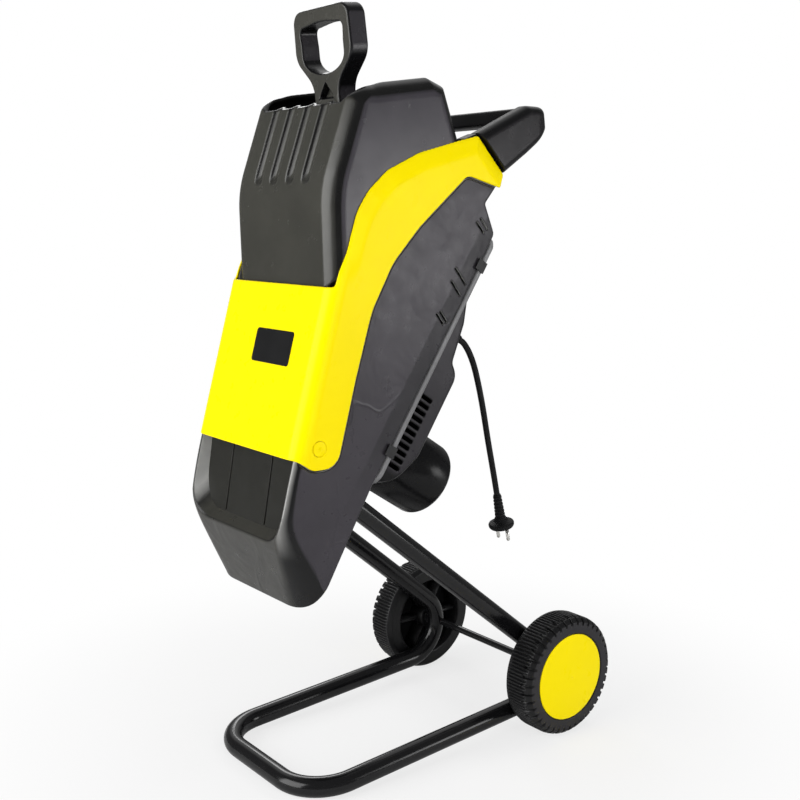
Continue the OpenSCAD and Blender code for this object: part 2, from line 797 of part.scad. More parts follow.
module cutter_gear() {
    color([0.5, 0.5, 0.52])
        at_ridge(cutter_u, gear_n)
            difference() {
                linear_extrude(gear_w) rotate([0, 0, -90]) polygon(wheel_rim(gear_teeth, gear_m, 0.12));
                translate([0, 0, -1]) cylinder(d = shaft_d, h = gear_w + 2);
                for (a = [30 : 60 : 330]) {
                    rotate([0, 0, a]) translate([24, 0, -1]) cylinder(r = 7, h = gear_w + 2);
                }
            }
}

module knife_disc() {
    color([0.55, 0.55, 0.56])
        at_ridge(cutter_u, disc_n)
            difference() {
                cylinder(d = disc_d, h = disc_t);
                translate([0, 0, -1]) cylinder(d = shaft_d - 3, h = disc_t + 2);
                for (a = [0, 180]) {
                    rotate([0, 0, a]) {
                        translate([24, 18, -1]) cube([48, 9, disc_t + 2]);
                        for (x = [34, 62]) {
                            translate([x, 2, -1]) cylinder(d = 6, h = disc_t + 2);
                        }
                    }
                }
            }
}

module knives() {
    color([0.75, 0.75, 0.76])
        at_ridge(cutter_u, disc_n - 4)
            for (a = [0, 180]) {
                rotate([0, 0, a])
                    difference() {
                        translate([22, 18, 0]) rotate([90, 0, 90]) linear_extrude(52) polygon([[-4, 0], [-28, 0], [-32, 4], [0, 4]]);
                        for (x = [34, 62]) {
                            translate([x, 2, -1]) cylinder(d = 6, h = 6);
                            translate([x, 2, 0]) cylinder(d1 = 11, d2 = 6, h = 2.5);
                        }
                    }
            }
}

module knife_screws() {
    color([0.4, 0.4, 0.42])
        at_ridge(cutter_u, disc_n - 4)
            for (a = [0, 180], x = [34, 62]) {
                rotate([0, 0, a])
                    translate([x, 2, 0]) {
                        cylinder(d1 = 11, d2 = 6, h = 2.5);
                        cylinder(d = 6, h = disc_t + 4);
                    }
            }
}

module disc_nut() {
    color([0.6, 0.6, 0.62])
        at_ridge(cutter_u, disc_n - 7)
            difference() {
                cylinder(r = 12.5, h = 7, $fn = 6);
                translate([0, 0, -1]) cylinder(d = shaft_d - 3, h = 9);
            }
}

module motor_shaft() {
    color([0.6, 0.6, 0.62])
        at_ridge(motor_u, 0) {
            translate([0, 0, plate_n]) cylinder(d = rotor_d, h = can_n - 5 - plate_n);
            translate([0, 0, gear_n - 0.5])
                linear_extrude(gear_w + 1)
                    rotate([0, 0, 90 + 180 / pinion_teeth]) polygon(wheel_rim(pinion_teeth, gear_m, 0.12));
        }
}

module armature() {
    color([0.5, 0.42, 0.36])
        at_ridge(motor_u, stator_n + 1)
            difference() {
                union() {
                    cylinder(r = core_r, h = stator_len - 2);
                    translate([0, 0, -6]) cylinder(r = core_r - 6, h = stator_len + 8);
                }
                translate([0, 0, -7]) cylinder(d = rotor_d, h = stator_len + 20);
                for (a = [0 : 30 : 330]) {
                    rotate([0, 0, a]) translate([core_r - 2.5, -1, -1]) cube([4, 2, stator_len]);
                }
            }
}

module commutator() {
    color([0.75, 0.45, 0.25])
        at_ridge(motor_u, stator_n + stator_len + 4)
            difference() {
                cylinder(r = 14, h = 18);
                translate([0, 0, -1]) cylinder(d = rotor_d, h = 20);
                for (a = [0 : 15 : 345]) {
                    rotate([0, 0, a]) translate([13.2, -0.3, 2]) cube([2, 0.6, 20]);
                }
            }
}

module motor_fan() {
    color([0.85, 0.85, 0.82])
        at_ridge(motor_u, can_start + 2)
            difference() {
                union() {
                    cylinder(r = 12, h = fan_h);
                    cylinder(r = stator_r - 5, h = 2);
                    for (a = [0 : 40 : 320]) {
                        rotate([0, 0, a]) translate([10, -1, 0]) cube([stator_r - 16, 2, fan_h]);
                    }
                }
                translate([0, 0, -1]) cylinder(d = rotor_d, h = 20);
            }
}

module motor_bearings() {
    color([0.7, 0.7, 0.72]) {
        at_ridge(motor_u, plate_n) ball_bearing(small_bearing_d, rotor_d, plate_t);
        at_ridge(motor_u, can_n - 4 - bearing_w) ball_bearing(small_bearing_d, rotor_d, bearing_w);
    }
}

module stator() {
    color([0.45, 0.45, 0.47])
        at_ridge(motor_u, stator_n)
            difference() {
                cylinder(r = stator_r, h = stator_len);
                translate([0, 0, -1]) cylinder(r = core_r + air_gap, h = stator_len + 2);
                coil_bars(-1, stator_len + 2);
                for (a = [0, 180]) {
                    rotate([0, 0, a]) translate([20, -12.2, -1]) cube([17.8, 24.4, stator_len + 2]);
                }
            }
}

// four coil bars that lie in the stator windows
module coil_bars(z, h) {
    for (a = [0, 180], s = [-1, 1]) {
        rotate([0, 0, a]) translate([28.8, s * 17.5 - 5.5, z]) cube([9, 11, h]);
    }
}

module field_coils() {
    color([0.72, 0.38, 0.18])
        at_ridge(motor_u, stator_n) {
            coil_bars(-8, stator_len + 16);
            for (s = [0, 180], z = [-7.5, stator_len + 0.5]) {
                rotate([0, 0, s + 32]) rotate_extrude(angle = 116) translate([30, z]) square([7, 7]);
            }
        }
}

module brush_holders() {
    color([0.78, 0.62, 0.3])
        at_ridge(motor_u, stator_n + stator_len + 15)
            for (a = [0, 180]) {
                rotate([0, 0, a])
                    intersection() {
                        difference() {
                            translate([17, -6, -6]) cube([40, 12, 12]);
                            translate([10, -4, -4]) cube([30, 8, 8]);
                        }
                        cylinder(r = stator_r - 3, h = 40, center = true);
                    }
            }
}

module brushes() {
    color([0.15, 0.15, 0.16])
        at_ridge(motor_u, stator_n + stator_len + 15)
            for (a = [0, 180]) {
                rotate([0, 0, a]) translate([14.4, -4, -4]) cube([22, 8, 8]);
            }
}

module at_switch() {
    at_ridge(switch_u, 0) translate([-switch_x, 0, 0]) children();
}

module switch_box() {
    color([0.05, 0.05, 0.05])
        at_switch()
            difference() {
                union() {
                    translate([0, 0, 18]) linear_extrude(switch_n - 18) square([44, 60], center = true);
                    translate([0, 0, switch_pad_n]) linear_extrude(switch_n - switch_pad_n) round_rect(54, 70, 6);
                }
                translate([0, 16, 30]) linear_extrude(40) square([24 + 2 * slide_gap, 18 + 2 * slide_gap], center = true);
                translate([0, -6, 30]) linear_extrude(40) square([24 + 2 * slide_gap, 18 + 2 * slide_gap], center = true);
                translate([0, -22, 30]) cylinder(d = 8 + 2 * slide_gap, h = 40);
            }
}

module start_button() {
    color([0.1, 0.55, 0.2])
        at_switch() translate([0, 16, 36]) linear_extrude(switch_n - 32) round_rect(24, 18, 3);
}

module stop_button() {
    color([0.8, 0.08, 0.06])
        at_switch() translate([0, -6, 36]) linear_extrude(switch_n - 30) round_rect(24, 18, 3);
}

module reset_button() {
    color([0.1, 0.1, 0.1])
        at_switch() translate([0, -22, 36]) cylinder(d = 8, h = switch_n - 33);
}

module cord_gland() {
    color([0.05, 0.05, 0.05])
        at_ridge(gland_u, 0)
            translate([-gland_x, 0, 0]) {
                translate([0, 0, pad_n - 12]) cylinder(d = gland_d, h = 12);
                translate([0, 0, pad_n]) cylinder(d = gland_d + 6, h = 4);
                translate([0, 0, pad_n + 4]) cylinder(d1 = gland_d, d2 = cord_d + 3, h = gland_end - pad_n - 4);
            }
}

// cord route from the gland to the plug
gland_end = 66;
cord_y = ridge_y + gland_u * sin(rear_lean) + gland_end * cos(rear_lean);
cord_z = ridge_z + gland_u * cos(rear_lean) - gland_end * sin(rear_lean);
cord_route = [[gland_x, cord_y, cord_z], [gland_x, cord_y + 8, cord_z - 5.4], [gland_x, 82, 505], [gland_x, 92, 482],
    [gland_x, 104, 440], [gland_x, 116, 387], [gland_x, 126, 345], [gland_x, 134, 310]];
plug_lean = 12;
function mix(a, b, c, d, t) = 0.5 * (2 * b + (c - a) * t + (2 * a - 5 * b + 4 * c - d) * t * t
    + (3 * b - a - 3 * c + d) * t * t * t);
function at_i(p, i) = p[max(0, min(len(p) - 1, i))];
function curve(p, k) = [for (i = [0 : len(p) - 2], j = [0 : k - 1])
    mix(at_i(p, i - 1), p[i], p[i + 1], at_i(p, i + 2), j / k)];
cord_line = concat(curve(cord_route, 3), [cord_route[len(cord_route) - 1]]);
function heading(i) = i == 0 ? [0, cos(rear_lean), -sin(rear_lean)] :
    i == len(cord_line) - 1 ? [0, sin(plug_lean), -cos(plug_lean)] : unit(cord_line[i + 1] - cord_line[i - 1]);
cord_sides = 10;
function cord_ring(i) = let(t = heading(i), a = [1, 0, 0], b = cross(t, a))
    [for (j = [0 : cord_sides - 1])
        cord_line[i] + cord_d / 2 * (a * cos(360 * j / cord_sides) + b * sin(360 * j / cord_sides))];

module cord() {
    color([0.04, 0.04, 0.04])
        polyhedron(points = [for (i = [0 : len(cord_line) - 1]) each cord_ring(i)],
            faces = concat([[for (j = [0 : cord_sides - 1]) j]],
                [for (i = [0 : len(cord_line) - 2], j = [0 : cord_sides - 1])
                    [i * cord_sides + j, (i + 1) * cord_sides + j, (i + 1) * cord_sides + (j + 1) % cord_sides,
                        i * cord_sides + (j + 1) % cord_sides]],
                [[for (j = [0 : cord_sides - 1]) len(cord_line) * cord_sides - 1 - j]]));
}

module at_plug() {
    translate(cord_route[len(cord_route) - 1])
        rotate([180 + plug_lean, 0, 0]) children();
}

module plug() {
    color([0.04, 0.04, 0.04])
        at_plug()
            difference() {
                rotate_extrude()
                    polygon([[0, 0], [cord_d / 2 + 2, 0], [cord_d / 2 + 3, 18], [cord_d / 2 + 2, 18], [cord_d / 2 + 3, 32],
                        [cord_d / 2 + 6, 37], [17, 40], [17.5, 43], [16, 47], [0, 47]]);
                for (x = [-9.5, 9.5]) {
                    translate([x, 0, 41]) cylinder(d = 4.8, h = 10);
                }
            }
}

module plug_pins() {
    color([0.8, 0.8, 0.8])
        at_plug()
            for (x = [-9.5, 9.5]) {
                translate([x, 0, 41]) cylinder(d = 4.8, h = 24);
            }
}

frame_tube();
axle();
axle_washers();
push_nuts();
wheel_right();
wheel_left();
hub_cap_right();
hub_cap_left();
frame_bolts();
front_housing();
saddle_cover();
screw_caps();
label_plate();
hopper();
plunger();
transport_grip();
grip_screws();
rear_cover();
ridge_clips();
cover_screws();
locking_knob();
motor_can();
gear_plate();
plate_screws();
cutter_bearings();
cutter_shaft();
cutter_gear();
knife_disc();
knives();
knife_screws();
disc_nut();
motor_shaft();
armature();
commutator();
motor_fan();
motor_bearings();
stator();
field_coils();
brush_holders();
brushes();
switch_box();
start_button();
stop_button();
reset_button();
cord_gland();
cord();
plug();
plug_pins();
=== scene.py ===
import json
import math

import bpy
import numpy as np
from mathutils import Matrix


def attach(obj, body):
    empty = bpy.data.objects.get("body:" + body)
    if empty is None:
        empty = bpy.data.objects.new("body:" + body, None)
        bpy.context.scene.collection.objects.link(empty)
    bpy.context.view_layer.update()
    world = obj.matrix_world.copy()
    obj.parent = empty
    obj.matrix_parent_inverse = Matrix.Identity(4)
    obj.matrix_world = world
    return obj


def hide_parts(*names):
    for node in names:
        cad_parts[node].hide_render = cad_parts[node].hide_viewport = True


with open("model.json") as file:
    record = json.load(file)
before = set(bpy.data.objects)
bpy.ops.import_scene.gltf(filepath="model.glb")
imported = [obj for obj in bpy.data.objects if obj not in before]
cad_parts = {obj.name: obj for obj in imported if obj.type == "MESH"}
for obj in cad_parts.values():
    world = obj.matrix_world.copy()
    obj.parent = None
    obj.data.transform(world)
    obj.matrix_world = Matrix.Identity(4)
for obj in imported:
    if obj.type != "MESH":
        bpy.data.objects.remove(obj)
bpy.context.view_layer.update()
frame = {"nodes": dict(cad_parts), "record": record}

nodes = frame["nodes"]
MM = 0.001

# Camera and cord


def link(obj):
    bpy.context.scene.collection.objects.link(obj)
    return obj


camera_data = bpy.data.cameras.new("camera")
camera_data.lens = 50.27
camera_data.sensor_width = 36
camera = link(bpy.data.objects.new("camera", camera_data))
camera.location = (1.1168, -0.8836, 0.6837)
camera.rotation_euler = (math.radians(90 - 9.45), 0, math.radians(51.32))
bpy.context.scene.camera = camera
bpy.context.scene.view_settings.view_transform = "Standard"

# the same route as the cord in the part's source, in metres
ROUTE = [(0.055, 0.06361, 0.52501), (0.055, 0.07161, 0.51961), (0.055, 0.082, 0.505), (0.055, 0.092, 0.482),
         (0.055, 0.104, 0.44), (0.055, 0.116, 0.387), (0.055, 0.126, 0.345), (0.055, 0.134, 0.31)]


def through(points, k):
    """Points of a smooth curve through the route, k to a stretch."""
    p = np.array([points[0]] + list(points) + [points[-1]], float)
    out = []
    for i in range(1, len(p) - 2):
        a, b, c, d = p[i - 1:i + 3]
        for t in np.arange(k) / k:
            out.append(0.5 * (2 * b + (c - a) * t + (2 * a - 5 * b + 4 * c - d) * t ** 2
                              + (3 * b - a - 3 * c + d) * t ** 3))
    return np.array(out + [p[-1]])


def add_cord(points):
    data = bpy.data.curves.new("cord", "CURVE")
    data.dimensions = "3D"
    data.bevel_depth = 0.004
    data.bevel_resolution = 8
    data.use_fill_caps = True
    spline = data.splines.new("POLY")
    spline.points.add(len(points) - 1)
    for point, place in zip(spline.points, points):
        point.co = (*place, 1)
    spline.use_smooth = True
    return link(bpy.data.objects.new("flex", data))


cord_line = through(ROUTE, 5)
flex = add_cord(cord_line)

# Forms as fields
# A form is a field over a grid of points in millimetres, negative inside. Rounded joins of fields give
# the moulded edges and fillets, and the surface is drawn where the field is zero.


def meet(a, b, r):
    """What lies inside both, with the outer edge rounded."""
    return np.minimum(-r, np.maximum(a, b)) + np.hypot(np.maximum(r + a, 0), np.maximum(r + b, 0))


def join(a, b, r):
    """What lies inside either, with the inner corner filled."""
    return np.maximum(r, np.minimum(a, b)) - np.hypot(np.maximum(r - a, 0), np.maximum(r - b, 0))


def cut(a, b, r):
    """a without b, with the edge rounded."""
    return meet(a, -b, r)


def ease(a, b, k):
    """What lies inside both, with a blunt edge softened. It takes off k / 4 at the edge."""
    return np.maximum(a, b) + np.maximum(k - np.abs(a - b), 0) ** 2 / (4 * k)


class Grid:
    """Points over a form, in stretches (from, to, step) along each axis.

    A mirrored grid holds the half with x above 0.
    """

    def __init__(self, x, y, z, mirrored=True):
        self.axes = [np.concatenate([np.arange(a, b, step) for a, b, step in part]) for part in (x, y, z)]
        self.mirrored = mirrored
        if mirrored:
            self.axes[0] = self.axes[0] + x[0][2] / 2
        a, b, c = (axis.astype(np.float32) for axis in self.axes)
        self.x, self.y, self.z = a[:, None, None], b[None, :, None], c[None, None, :]
        self.ax = np.abs(self.x)
        if mirrored:
            self.axes[0] = np.concatenate([-self.axes[0][::-1], self.axes[0]])

    def lean(self, y, z, degrees):
        """Plane across the machine that leans back going up, positive in front of it."""
        a = math.radians(degrees)
        return (self.z - z) * math.sin(a) - (self.y - y) * math.cos(a)

    def up(self, y, z, degrees):
        """Height along the same plane."""
        a = math.radians(degrees)
        return (self.y - y) * math.sin(a) + (self.z - z) * math.cos(a)

    def off_ridge(self):
        """Distance out of the sloping rear face."""
        return (self.y - RIDGE[0]) * OUT[1] + (self.z - RIDGE[1]) * OUT[2]

    def outline(self, points):
        """Distance to a closed outline drawn in y and z."""
        return polygon_field(points, self.y[0], self.z[0])[None]

    def outline_xz(self, points):
        """Distance to a closed outline drawn in x and z."""
        return polygon_field(points, self.x[:, 0, :], self.z[0])[:, None, :]

    def whole(self, field):
        field = field.astype(np.float32)
        return np.concatenate([field[::-1], field]) if self.mirrored else field


def soft(points, steps=8):
    """Outline with its corners rounded: each point is (a, b) or (a, b, radius)."""
    out, n = [], len(points)
    for i, point in enumerate(points):
        q = np.array(point[:2], float)
        r = point[2] if len(point) > 2 else 0
        if not r:
            out.append(q)
            continue
        u, v = np.array(points[i - 1][:2]) - q, np.array(points[(i + 1) % n][:2]) - q
        u, v = u / np.hypot(*u), v / np.hypot(*v)
        half = math.acos(np.clip(u @ v, -1, 1)) / 2
        centre = q + (u + v) / np.hypot(*(u + v)) * r / math.sin(half)
        s, e = q + u * r / math.tan(half) - centre, q + v * r / math.tan(half) - centre
        a = math.atan2(s[1], s[0])
        d = (math.atan2(e[1], e[0]) - a + math.pi) % (2 * math.pi) - math.pi
        out += [centre + r * np.array((math.cos(a + d * k / steps), math.sin(a + d * k / steps)))
                for k in range(steps + 1)]
    return np.array(out)


def polygon_field(points, u, v):
    """Signed distance from points (u, v) to a closed outline, negative inside."""
    u, v = np.broadcast_arrays(u.astype(np.float64), v.astype(np.float64))
    far = np.full(u.shape, 1e9)
    inside = np.zeros(u.shape, bool)
    p = np.array(points, float)
    for a, b in zip(p, np.roll(p, -1, 0)):
        d = b - a
        length = d @ d
        if length < 1e-12:
            continue
        t = np.clip(((u - a[0]) * d[0] + (v - a[1]) * d[1]) / length, 0, 1)
        far = np.minimum(far, (u - a[0] - t * d[0]) ** 2 + (v - a[1] - t * d[1]) ** 2)
        crosses = (a[1] > v) != (b[1] > v)
        if a[1] != b[1]:
            inside ^= crosses & (u < a[0] + (v - a[1]) / d[1] * d[0])
    return (np.sqrt(far) * np.where(inside, -1, 1)).astype(np.float32)


CORNERS = [(i, j, k) for i in (0, 1) for j in (0, 1) for k in (0, 1)]  # of a cell


def net(field, axes):
    """Vertices and quads of the surface where a field is zero."""
    inside = field < 0
    shape = np.array(field.shape)
    within = sum(inside[i:shape[0] - 1 + i, j:shape[1] - 1 + j, k:shape[2] - 1 + k].astype(np.int8)
                 for i, j, k in CORNERS)
    cells = np.argwhere((within > 0) & (within < 8))
    index = np.full(shape - 1, -1, np.int32)
    index[tuple(cells.T)] = np.arange(len(cells))
    value = [field[cells[:, 0] + i, cells[:, 1] + j, cells[:, 2] + k] for i, j, k in CORNERS]
    total, hits = np.zeros((len(cells), 3)), np.zeros(len(cells))
    for a in range(8):
        for b in range(a + 1, 8):
            step_ab = np.subtract(CORNERS[b], CORNERS[a])
            if np.abs(step_ab).sum() != 1:
                continue
            crossed = (value[a] < 0) != (value[b] < 0)
            t = np.where(crossed, value[a] / np.where(crossed, value[a] - value[b], 1), 0)
            total += crossed[:, None] * (np.array(CORNERS[a]) + t[:, None] * step_ab)
            hits += crossed
    share = total / hits[:, None]
    verts = np.stack([axis[c] + f * (axis[c + 1] - axis[c]) for axis, c, f in zip(axes, cells.T, share.T)], 1)
    quads = []
    for axis in range(3):
        u, v = (axis + 1) % 3, (axis + 2) % 3
        here = [slice(1, -1)] * 3
        here[axis] = slice(0, -1)
        there = list(here)
        there[axis] = slice(1, None)
        first = inside[tuple(here)]
        change = first != inside[tuple(there)]
        at = np.argwhere(change)
        offset = np.ones(3, int)
        offset[axis] = 0
        at = at + offset
        eu, ev = np.eye(3, dtype=int)[u], np.eye(3, dtype=int)[v]
        ring = [index[tuple((at - e).T)] for e in (eu + ev, ev, 0 * eu, eu)]
        faces = np.stack(ring, 1)
        outward = first[change]
        faces[~outward] = faces[~outward][:, ::-1]
        quads.append(faces)
    return verts, np.concatenate(quads)


# Meshes


def add_mesh(name, verts, faces):
    """A mesh object from points in millimetres and rows of equal-sided faces."""
    data = bpy.data.meshes.new(name)
    if isinstance(faces, np.ndarray):
        sides = faces.shape[1]
        data.vertices.add(len(verts))
        data.vertices.foreach_set("co", (np.asarray(verts, np.float32) * MM).ravel())
        data.loops.add(faces.size)
        data.loops.foreach_set("vertex_index", faces.astype(np.int32).ravel())
        data.polygons.add(len(faces))
        data.polygons.foreach_set("loop_start", np.arange(0, faces.size, sides, dtype=np.int32))
        data.update(calc_edges=True)
        data.validate()
    else:
        data.from_pydata([tuple(np.array(v) * MM) for v in verts], [], [list(f) for f in faces])
        data.update()
    data.polygons.foreach_set("use_smooth", np.ones(len(data.polygons), bool))
    return link(bpy.data.objects.new(name, data))


def sample(field, axes, points):
    """Value of a field between its grid points."""
    low, share = [], []
    for axis, p in zip(axes, points.T):
        k = np.clip(np.searchsorted(axis, p) - 1, 0, len(axis) - 2)
        low.append(k)
        share.append(np.clip((p - axis[k]) / (axis[k + 1] - axis[k]), 0, 1))
    out = 0
    for corner in CORNERS:
        weight = np.prod([f if c else 1 - f for f, c in zip(share, corner)], 0)
        out = out + weight * field[tuple(k + c for k, c in zip(low, corner))]
    return out


def moulded(name, grid, field, faces=50000, place=None):
    """A form's surface with about that many triangles, shaded by the slope of its field."""
    field = grid.whole(field)
    obj = add_mesh(name, *net(field, grid.axes))
    have = 2 * len(obj.data.polygons)
    if have > faces:
        obj.modifiers.new("thin", "DECIMATE").ratio = faces / have
        graph = bpy.context.evaluated_depsgraph_get()
        old, obj.data = obj.data, bpy.data.meshes.new_from_object(obj.evaluated_get(graph))
        obj.modifiers.clear()
        bpy.data.meshes.remove(old)
    mesh = obj.data
    verts = np.empty(3 * len(mesh.vertices), np.float32)
    mesh.vertices.foreach_get("co", verts)
    verts = verts.reshape(-1, 3).astype(float) / MM
    away = 0.8  # how far the field is sampled from the surface, in millimetres
    slope = np.stack([sample(field, grid.axes, verts + e) - sample(field, grid.axes, verts - e)
                      for e in away * np.eye(3)], 1)
    slope /= np.linalg.norm(slope, axis=1)[:, None] + 1e-9
    if place is not None:
        moved = place(verts)
        slope = place(verts + slope) - moved
        mesh.vertices.foreach_set("co", (moved * MM).astype(np.float32).ravel())
    mesh.polygons.foreach_set("use_smooth", np.ones(len(mesh.polygons), bool))
    mesh.update()
    mesh.normals_split_custom_set_from_vertices(slope.tolist())
    return obj


def lathe(profile, steps):
    """Points and quads of a closed profile (radius, height) turned about z."""
    p = np.array(profile, float)
    a = np.linspace(0, 2 * math.pi, steps, endpoint=False)
    verts = np.stack([p[:, 0][None] * np.cos(a)[:, None], p[:, 0][None] * np.sin(a)[:, None],
                      np.broadcast_to(p[:, 1], (steps, len(p)))], 2)
    return verts.reshape(-1, 3), wrap_faces(steps, len(p))


def wrap_faces(rings, per_ring):
    """Quads between rings of points. The rings close up, and so does each ring."""
    i, j = np.arange(rings)[:, None], np.arange(per_ring)[None]
    k, m = (i + 1) % rings, (j + 1) % per_ring
    corners = [i * per_ring + j, k * per_ring + j, k * per_ring + m, i * per_ring + m]
    return np.stack(corners, 2).reshape(-1, 4)


def joined(*forms):
    """Several (points, quads) as one."""
    verts, faces, start = [], [], 0
    for v, f in forms:
        verts.append(v)
        faces.append(np.asarray(f) + start)
        start += len(v)
    return np.concatenate(verts), np.concatenate(faces)


# places that several forms share, in millimetres
BODY_HALF = 110
FRONT = (-224, 414, 15.5)  # a point (y, z) of the upper front and the degrees it leans back
HOPPER_PANEL = (-171, 712, 19.5)
NOSE_BACK = (-209, 409.8, 9.8)
CHUTE = (-88, 823)  # where the feed channel and the plunger have their zero
CHUTE_LEAN = math.radians(6)
AXLE = (166, 80)
WHEEL_INNER = 121.5
SCREW_CAP = (-194, 426)
PLUG_TOP = (55, 134, 310)
# on the sloping rear face, across and up it
MOTOR_UP = 61
KNOB_UP = 312
GLAND = (55, 228)
SWITCH = (-42, 226)

RIDGE = (-117, 371)
REAR_LEAN = math.radians(33.4)
UP = np.array((0, math.sin(REAR_LEAN), math.cos(REAR_LEAN)))
OUT = np.array((0, math.cos(REAR_LEAN), -math.sin(REAR_LEAN)))
SIDE = np.array((1.0, 0, 0))


def framed(base, x, y, z):
    """Takes points from a frame with these axes to their place."""
    return lambda v: base + v[:, :1] * x + v[:, 1:2] * y + v[:, 2:] * z


def on_ridge(x, u):
    """Frame on the sloping rear face: x across, y up the slope, z out of it."""
    return framed(np.array((x, *RIDGE)) + u * UP, -SIDE, UP, OUT)


def on_front(y, z, degrees):
    """Frame on a leaning front: x across, y up the face, z out of it."""
    a = math.radians(degrees)
    up, out = np.array((0, math.sin(a), math.cos(a))), np.array((0, -math.cos(a), math.sin(a)))
    return framed(np.array((0, y, z)), SIDE, up, out)


def on_plug():
    """Frame of the plug: x across the two pins, z down the cord."""
    a = math.radians(12)
    along, across = np.array((0, math.sin(a), -math.cos(a))), np.array((0, math.cos(a), math.sin(a)))
    return framed(np.array(PLUG_TOP), SIDE, across, along)


# Body shells


def step_up(t):
    """0 below 0, 1 above 1, smooth between."""
    t = np.clip(t, 0, 1)
    return t * t * (3 - 2 * t)


HOUSING = [(-330, 600), (-330, 205), (-196.3, 234.3, 26), (-117, 371), (72.9, 659, 10), (57, 696, 3),
           (89, 733), (45, 779), (14, 768), (-50, 751, 30), (-95, 729, 30), (-124, 706, 30), (-143, 680, 30),
           (-152, 655, 30), (-166, 600)]
SLITS = [((41, 674.5), (53.5, 660.5)), ((47.5, 678.5), (59.5, 665)), ((1, 605), (17, 586)),
         ((7.5, 620), (25.5, 599)), ((-21.5, 567), (-10, 553.5)), ((-16, 569.5), (-4, 555))]


def arm_side(g, top):
    """Side of the yellow arms, which rolls in towards the hopper along their upper edge."""
    t = np.clip((25 + top) / 25, 0, 1)
    roll = np.where(t < 0.3, t * t / 0.6, t - 0.15) / 0.85
    return g.ax - 113.2 + 7 * roll * step_up((g.z - 600) / 50)


def front_housing():
    g = Grid(((0, 76, 3.5), (76, 102, 1.8), (102, 115, 1.1)), ((-256, 98, 1.4),), ((216, 788, 1.4),))
    top = g.lean(*FRONT)
    nose = ease(ease(top, g.lean(-246.3, 338, -2.5), 6), g.lean(-247.15, 338, -20.5), 12)
    nose = meet(nose, g.ax - BODY_HALF, 12 + 36 * np.clip((400 - g.z) / 160, 0, 1) ** 1.6)
    shell = meet(g.outline(soft(HOUSING)), nose, 5)
    e, s = -top, g.up(*FRONT)
    # the recess has thin cheeks, a back steeper than the front and a sill that slopes out to the chin
    floor = (-111.7 + 1.34 * np.clip(e, -20, 30) - s) / 1.67
    cheek = (g.ax - 101 + 0.3 * np.clip(e, -5, 26)) / 1.05
    recess = meet(meet(meet(cheek, floor, 32), s - 30, 4), e - 15.2 + 0.1 * s, 2)
    shell = cut(shell, recess, 2.4)
    inner = g.outline([(-330, 860), (-330, 225), (-203, 225), (-194, 249), (-122, 374), (-108, 381),
                       (-98, 374), (79, 637), (62, 650), (50, 688), (26, 688), (26, 860)])
    hollow = cut(meet(inner, nose + 4, 4), recess - 4, 2)
    shell = np.maximum(shell, -hollow)
    mouth = g.outline([(-330, 604), (-110, 604), (-20, 655), (26, 655), (26, 900), (-330, 900)])
    shell = cut(shell, np.maximum(mouth, g.ax - 106), 0.8)
    back = np.maximum(g.outline([(27, 692), (200, 692), (200, 900), (27, 900)]), g.ax - 86)
    shell = cut(shell, back, 1.5)
    for a, b in np.array(SLITS):
        d = (b - a) / np.hypot(*(b - a))
        side = np.array((-d[1], d[0])) * 1.3
        slot = g.outline([a + side, a - side, b - side, b + side])
        shell = cut(shell, np.maximum(slot, 106.8 - g.ax), 0.6)
    n = g.off_ridge()
    # along the rear edge the side falls in a little, from a crease
    shell = np.maximum(shell, g.ax - BODY_HALF + 2 * np.clip((n + 26) / 26, 0, 1))
    chips = np.maximum(g.ax - 60, g.outline([(-194, 268), (-152, 340), (-60, 290), (-100, 215)]))
    shell = cut(shell, np.maximum(chips, n - 40), 2)
    # the saddle lies on the shell, with an open joint line along its lower edge
    low = g.outline(soft(SADDLE_LOW, 10))
    shell = cut(shell, np.maximum(np.abs(low - 1.1) - 1.1, 107.6 - g.ax), 0.4)
    shell = np.maximum(shell, arm_side(g, g.outline(soft(SADDLE_TOP, 10))) + 3.3)
    return moulded("front_shell", g, shell, 75000)


SADDLE_TOP = [(-330, 604), (-167, 604, 6), (-151, 660, 60), (-141, 686, 40), (-122, 712, 40), (-95, 735, 40),
              (-48, 756, 60), (14, 772), (45, 779, 8), (89, 733), (140, 680), (140, 300), (-330, 300)]
SADDLE_LOW = [(-330, 415), (-222, 415, 16), (-203, 401.5, 20), (-170, 401.5, 22), (-144, 497, 160),
              (-120, 575, 120), (-89, 629, 90), (-50, 669, 120), (24, 729, 14), (77, 715, 2), (89, 733),
              (89, 900), (-330, 900)]


def saddle():
    g = Grid(((0, 84, 3), (84, 117, 1.2)), ((-234, 94, 1.5),), ((398, 784, 1.5),))
    front = g.lean(*FRONT)
    top, low = g.outline(soft(SADDLE_TOP, 10)), g.outline(soft(SADDLE_LOW, 10))
    side = arm_side(g, top)
    form = meet(meet(meet(front - 3.2, side, 19), top, 1.4), low, 1.2)
    form = np.maximum(form, -meet(front, side + 3.2, 16))
    form = np.maximum(form, np.minimum(106.15 - g.ax, g.z - 604))
    seat = np.hypot(g.y - SCREW_CAP[0], g.z - SCREW_CAP[1]) - 9
    form = cut(form, np.maximum(seat, 100 - g.ax), 0.6)
    return moulded("saddle", g, form, 60000)


HOPPER = [(-300, 599), (-300, 829), (-106, 829), (-26, 841, 14), (0, 832, 8), (24, 770), (24, 655),
          (-20, 655), (-110, 604), (-150, 599)]


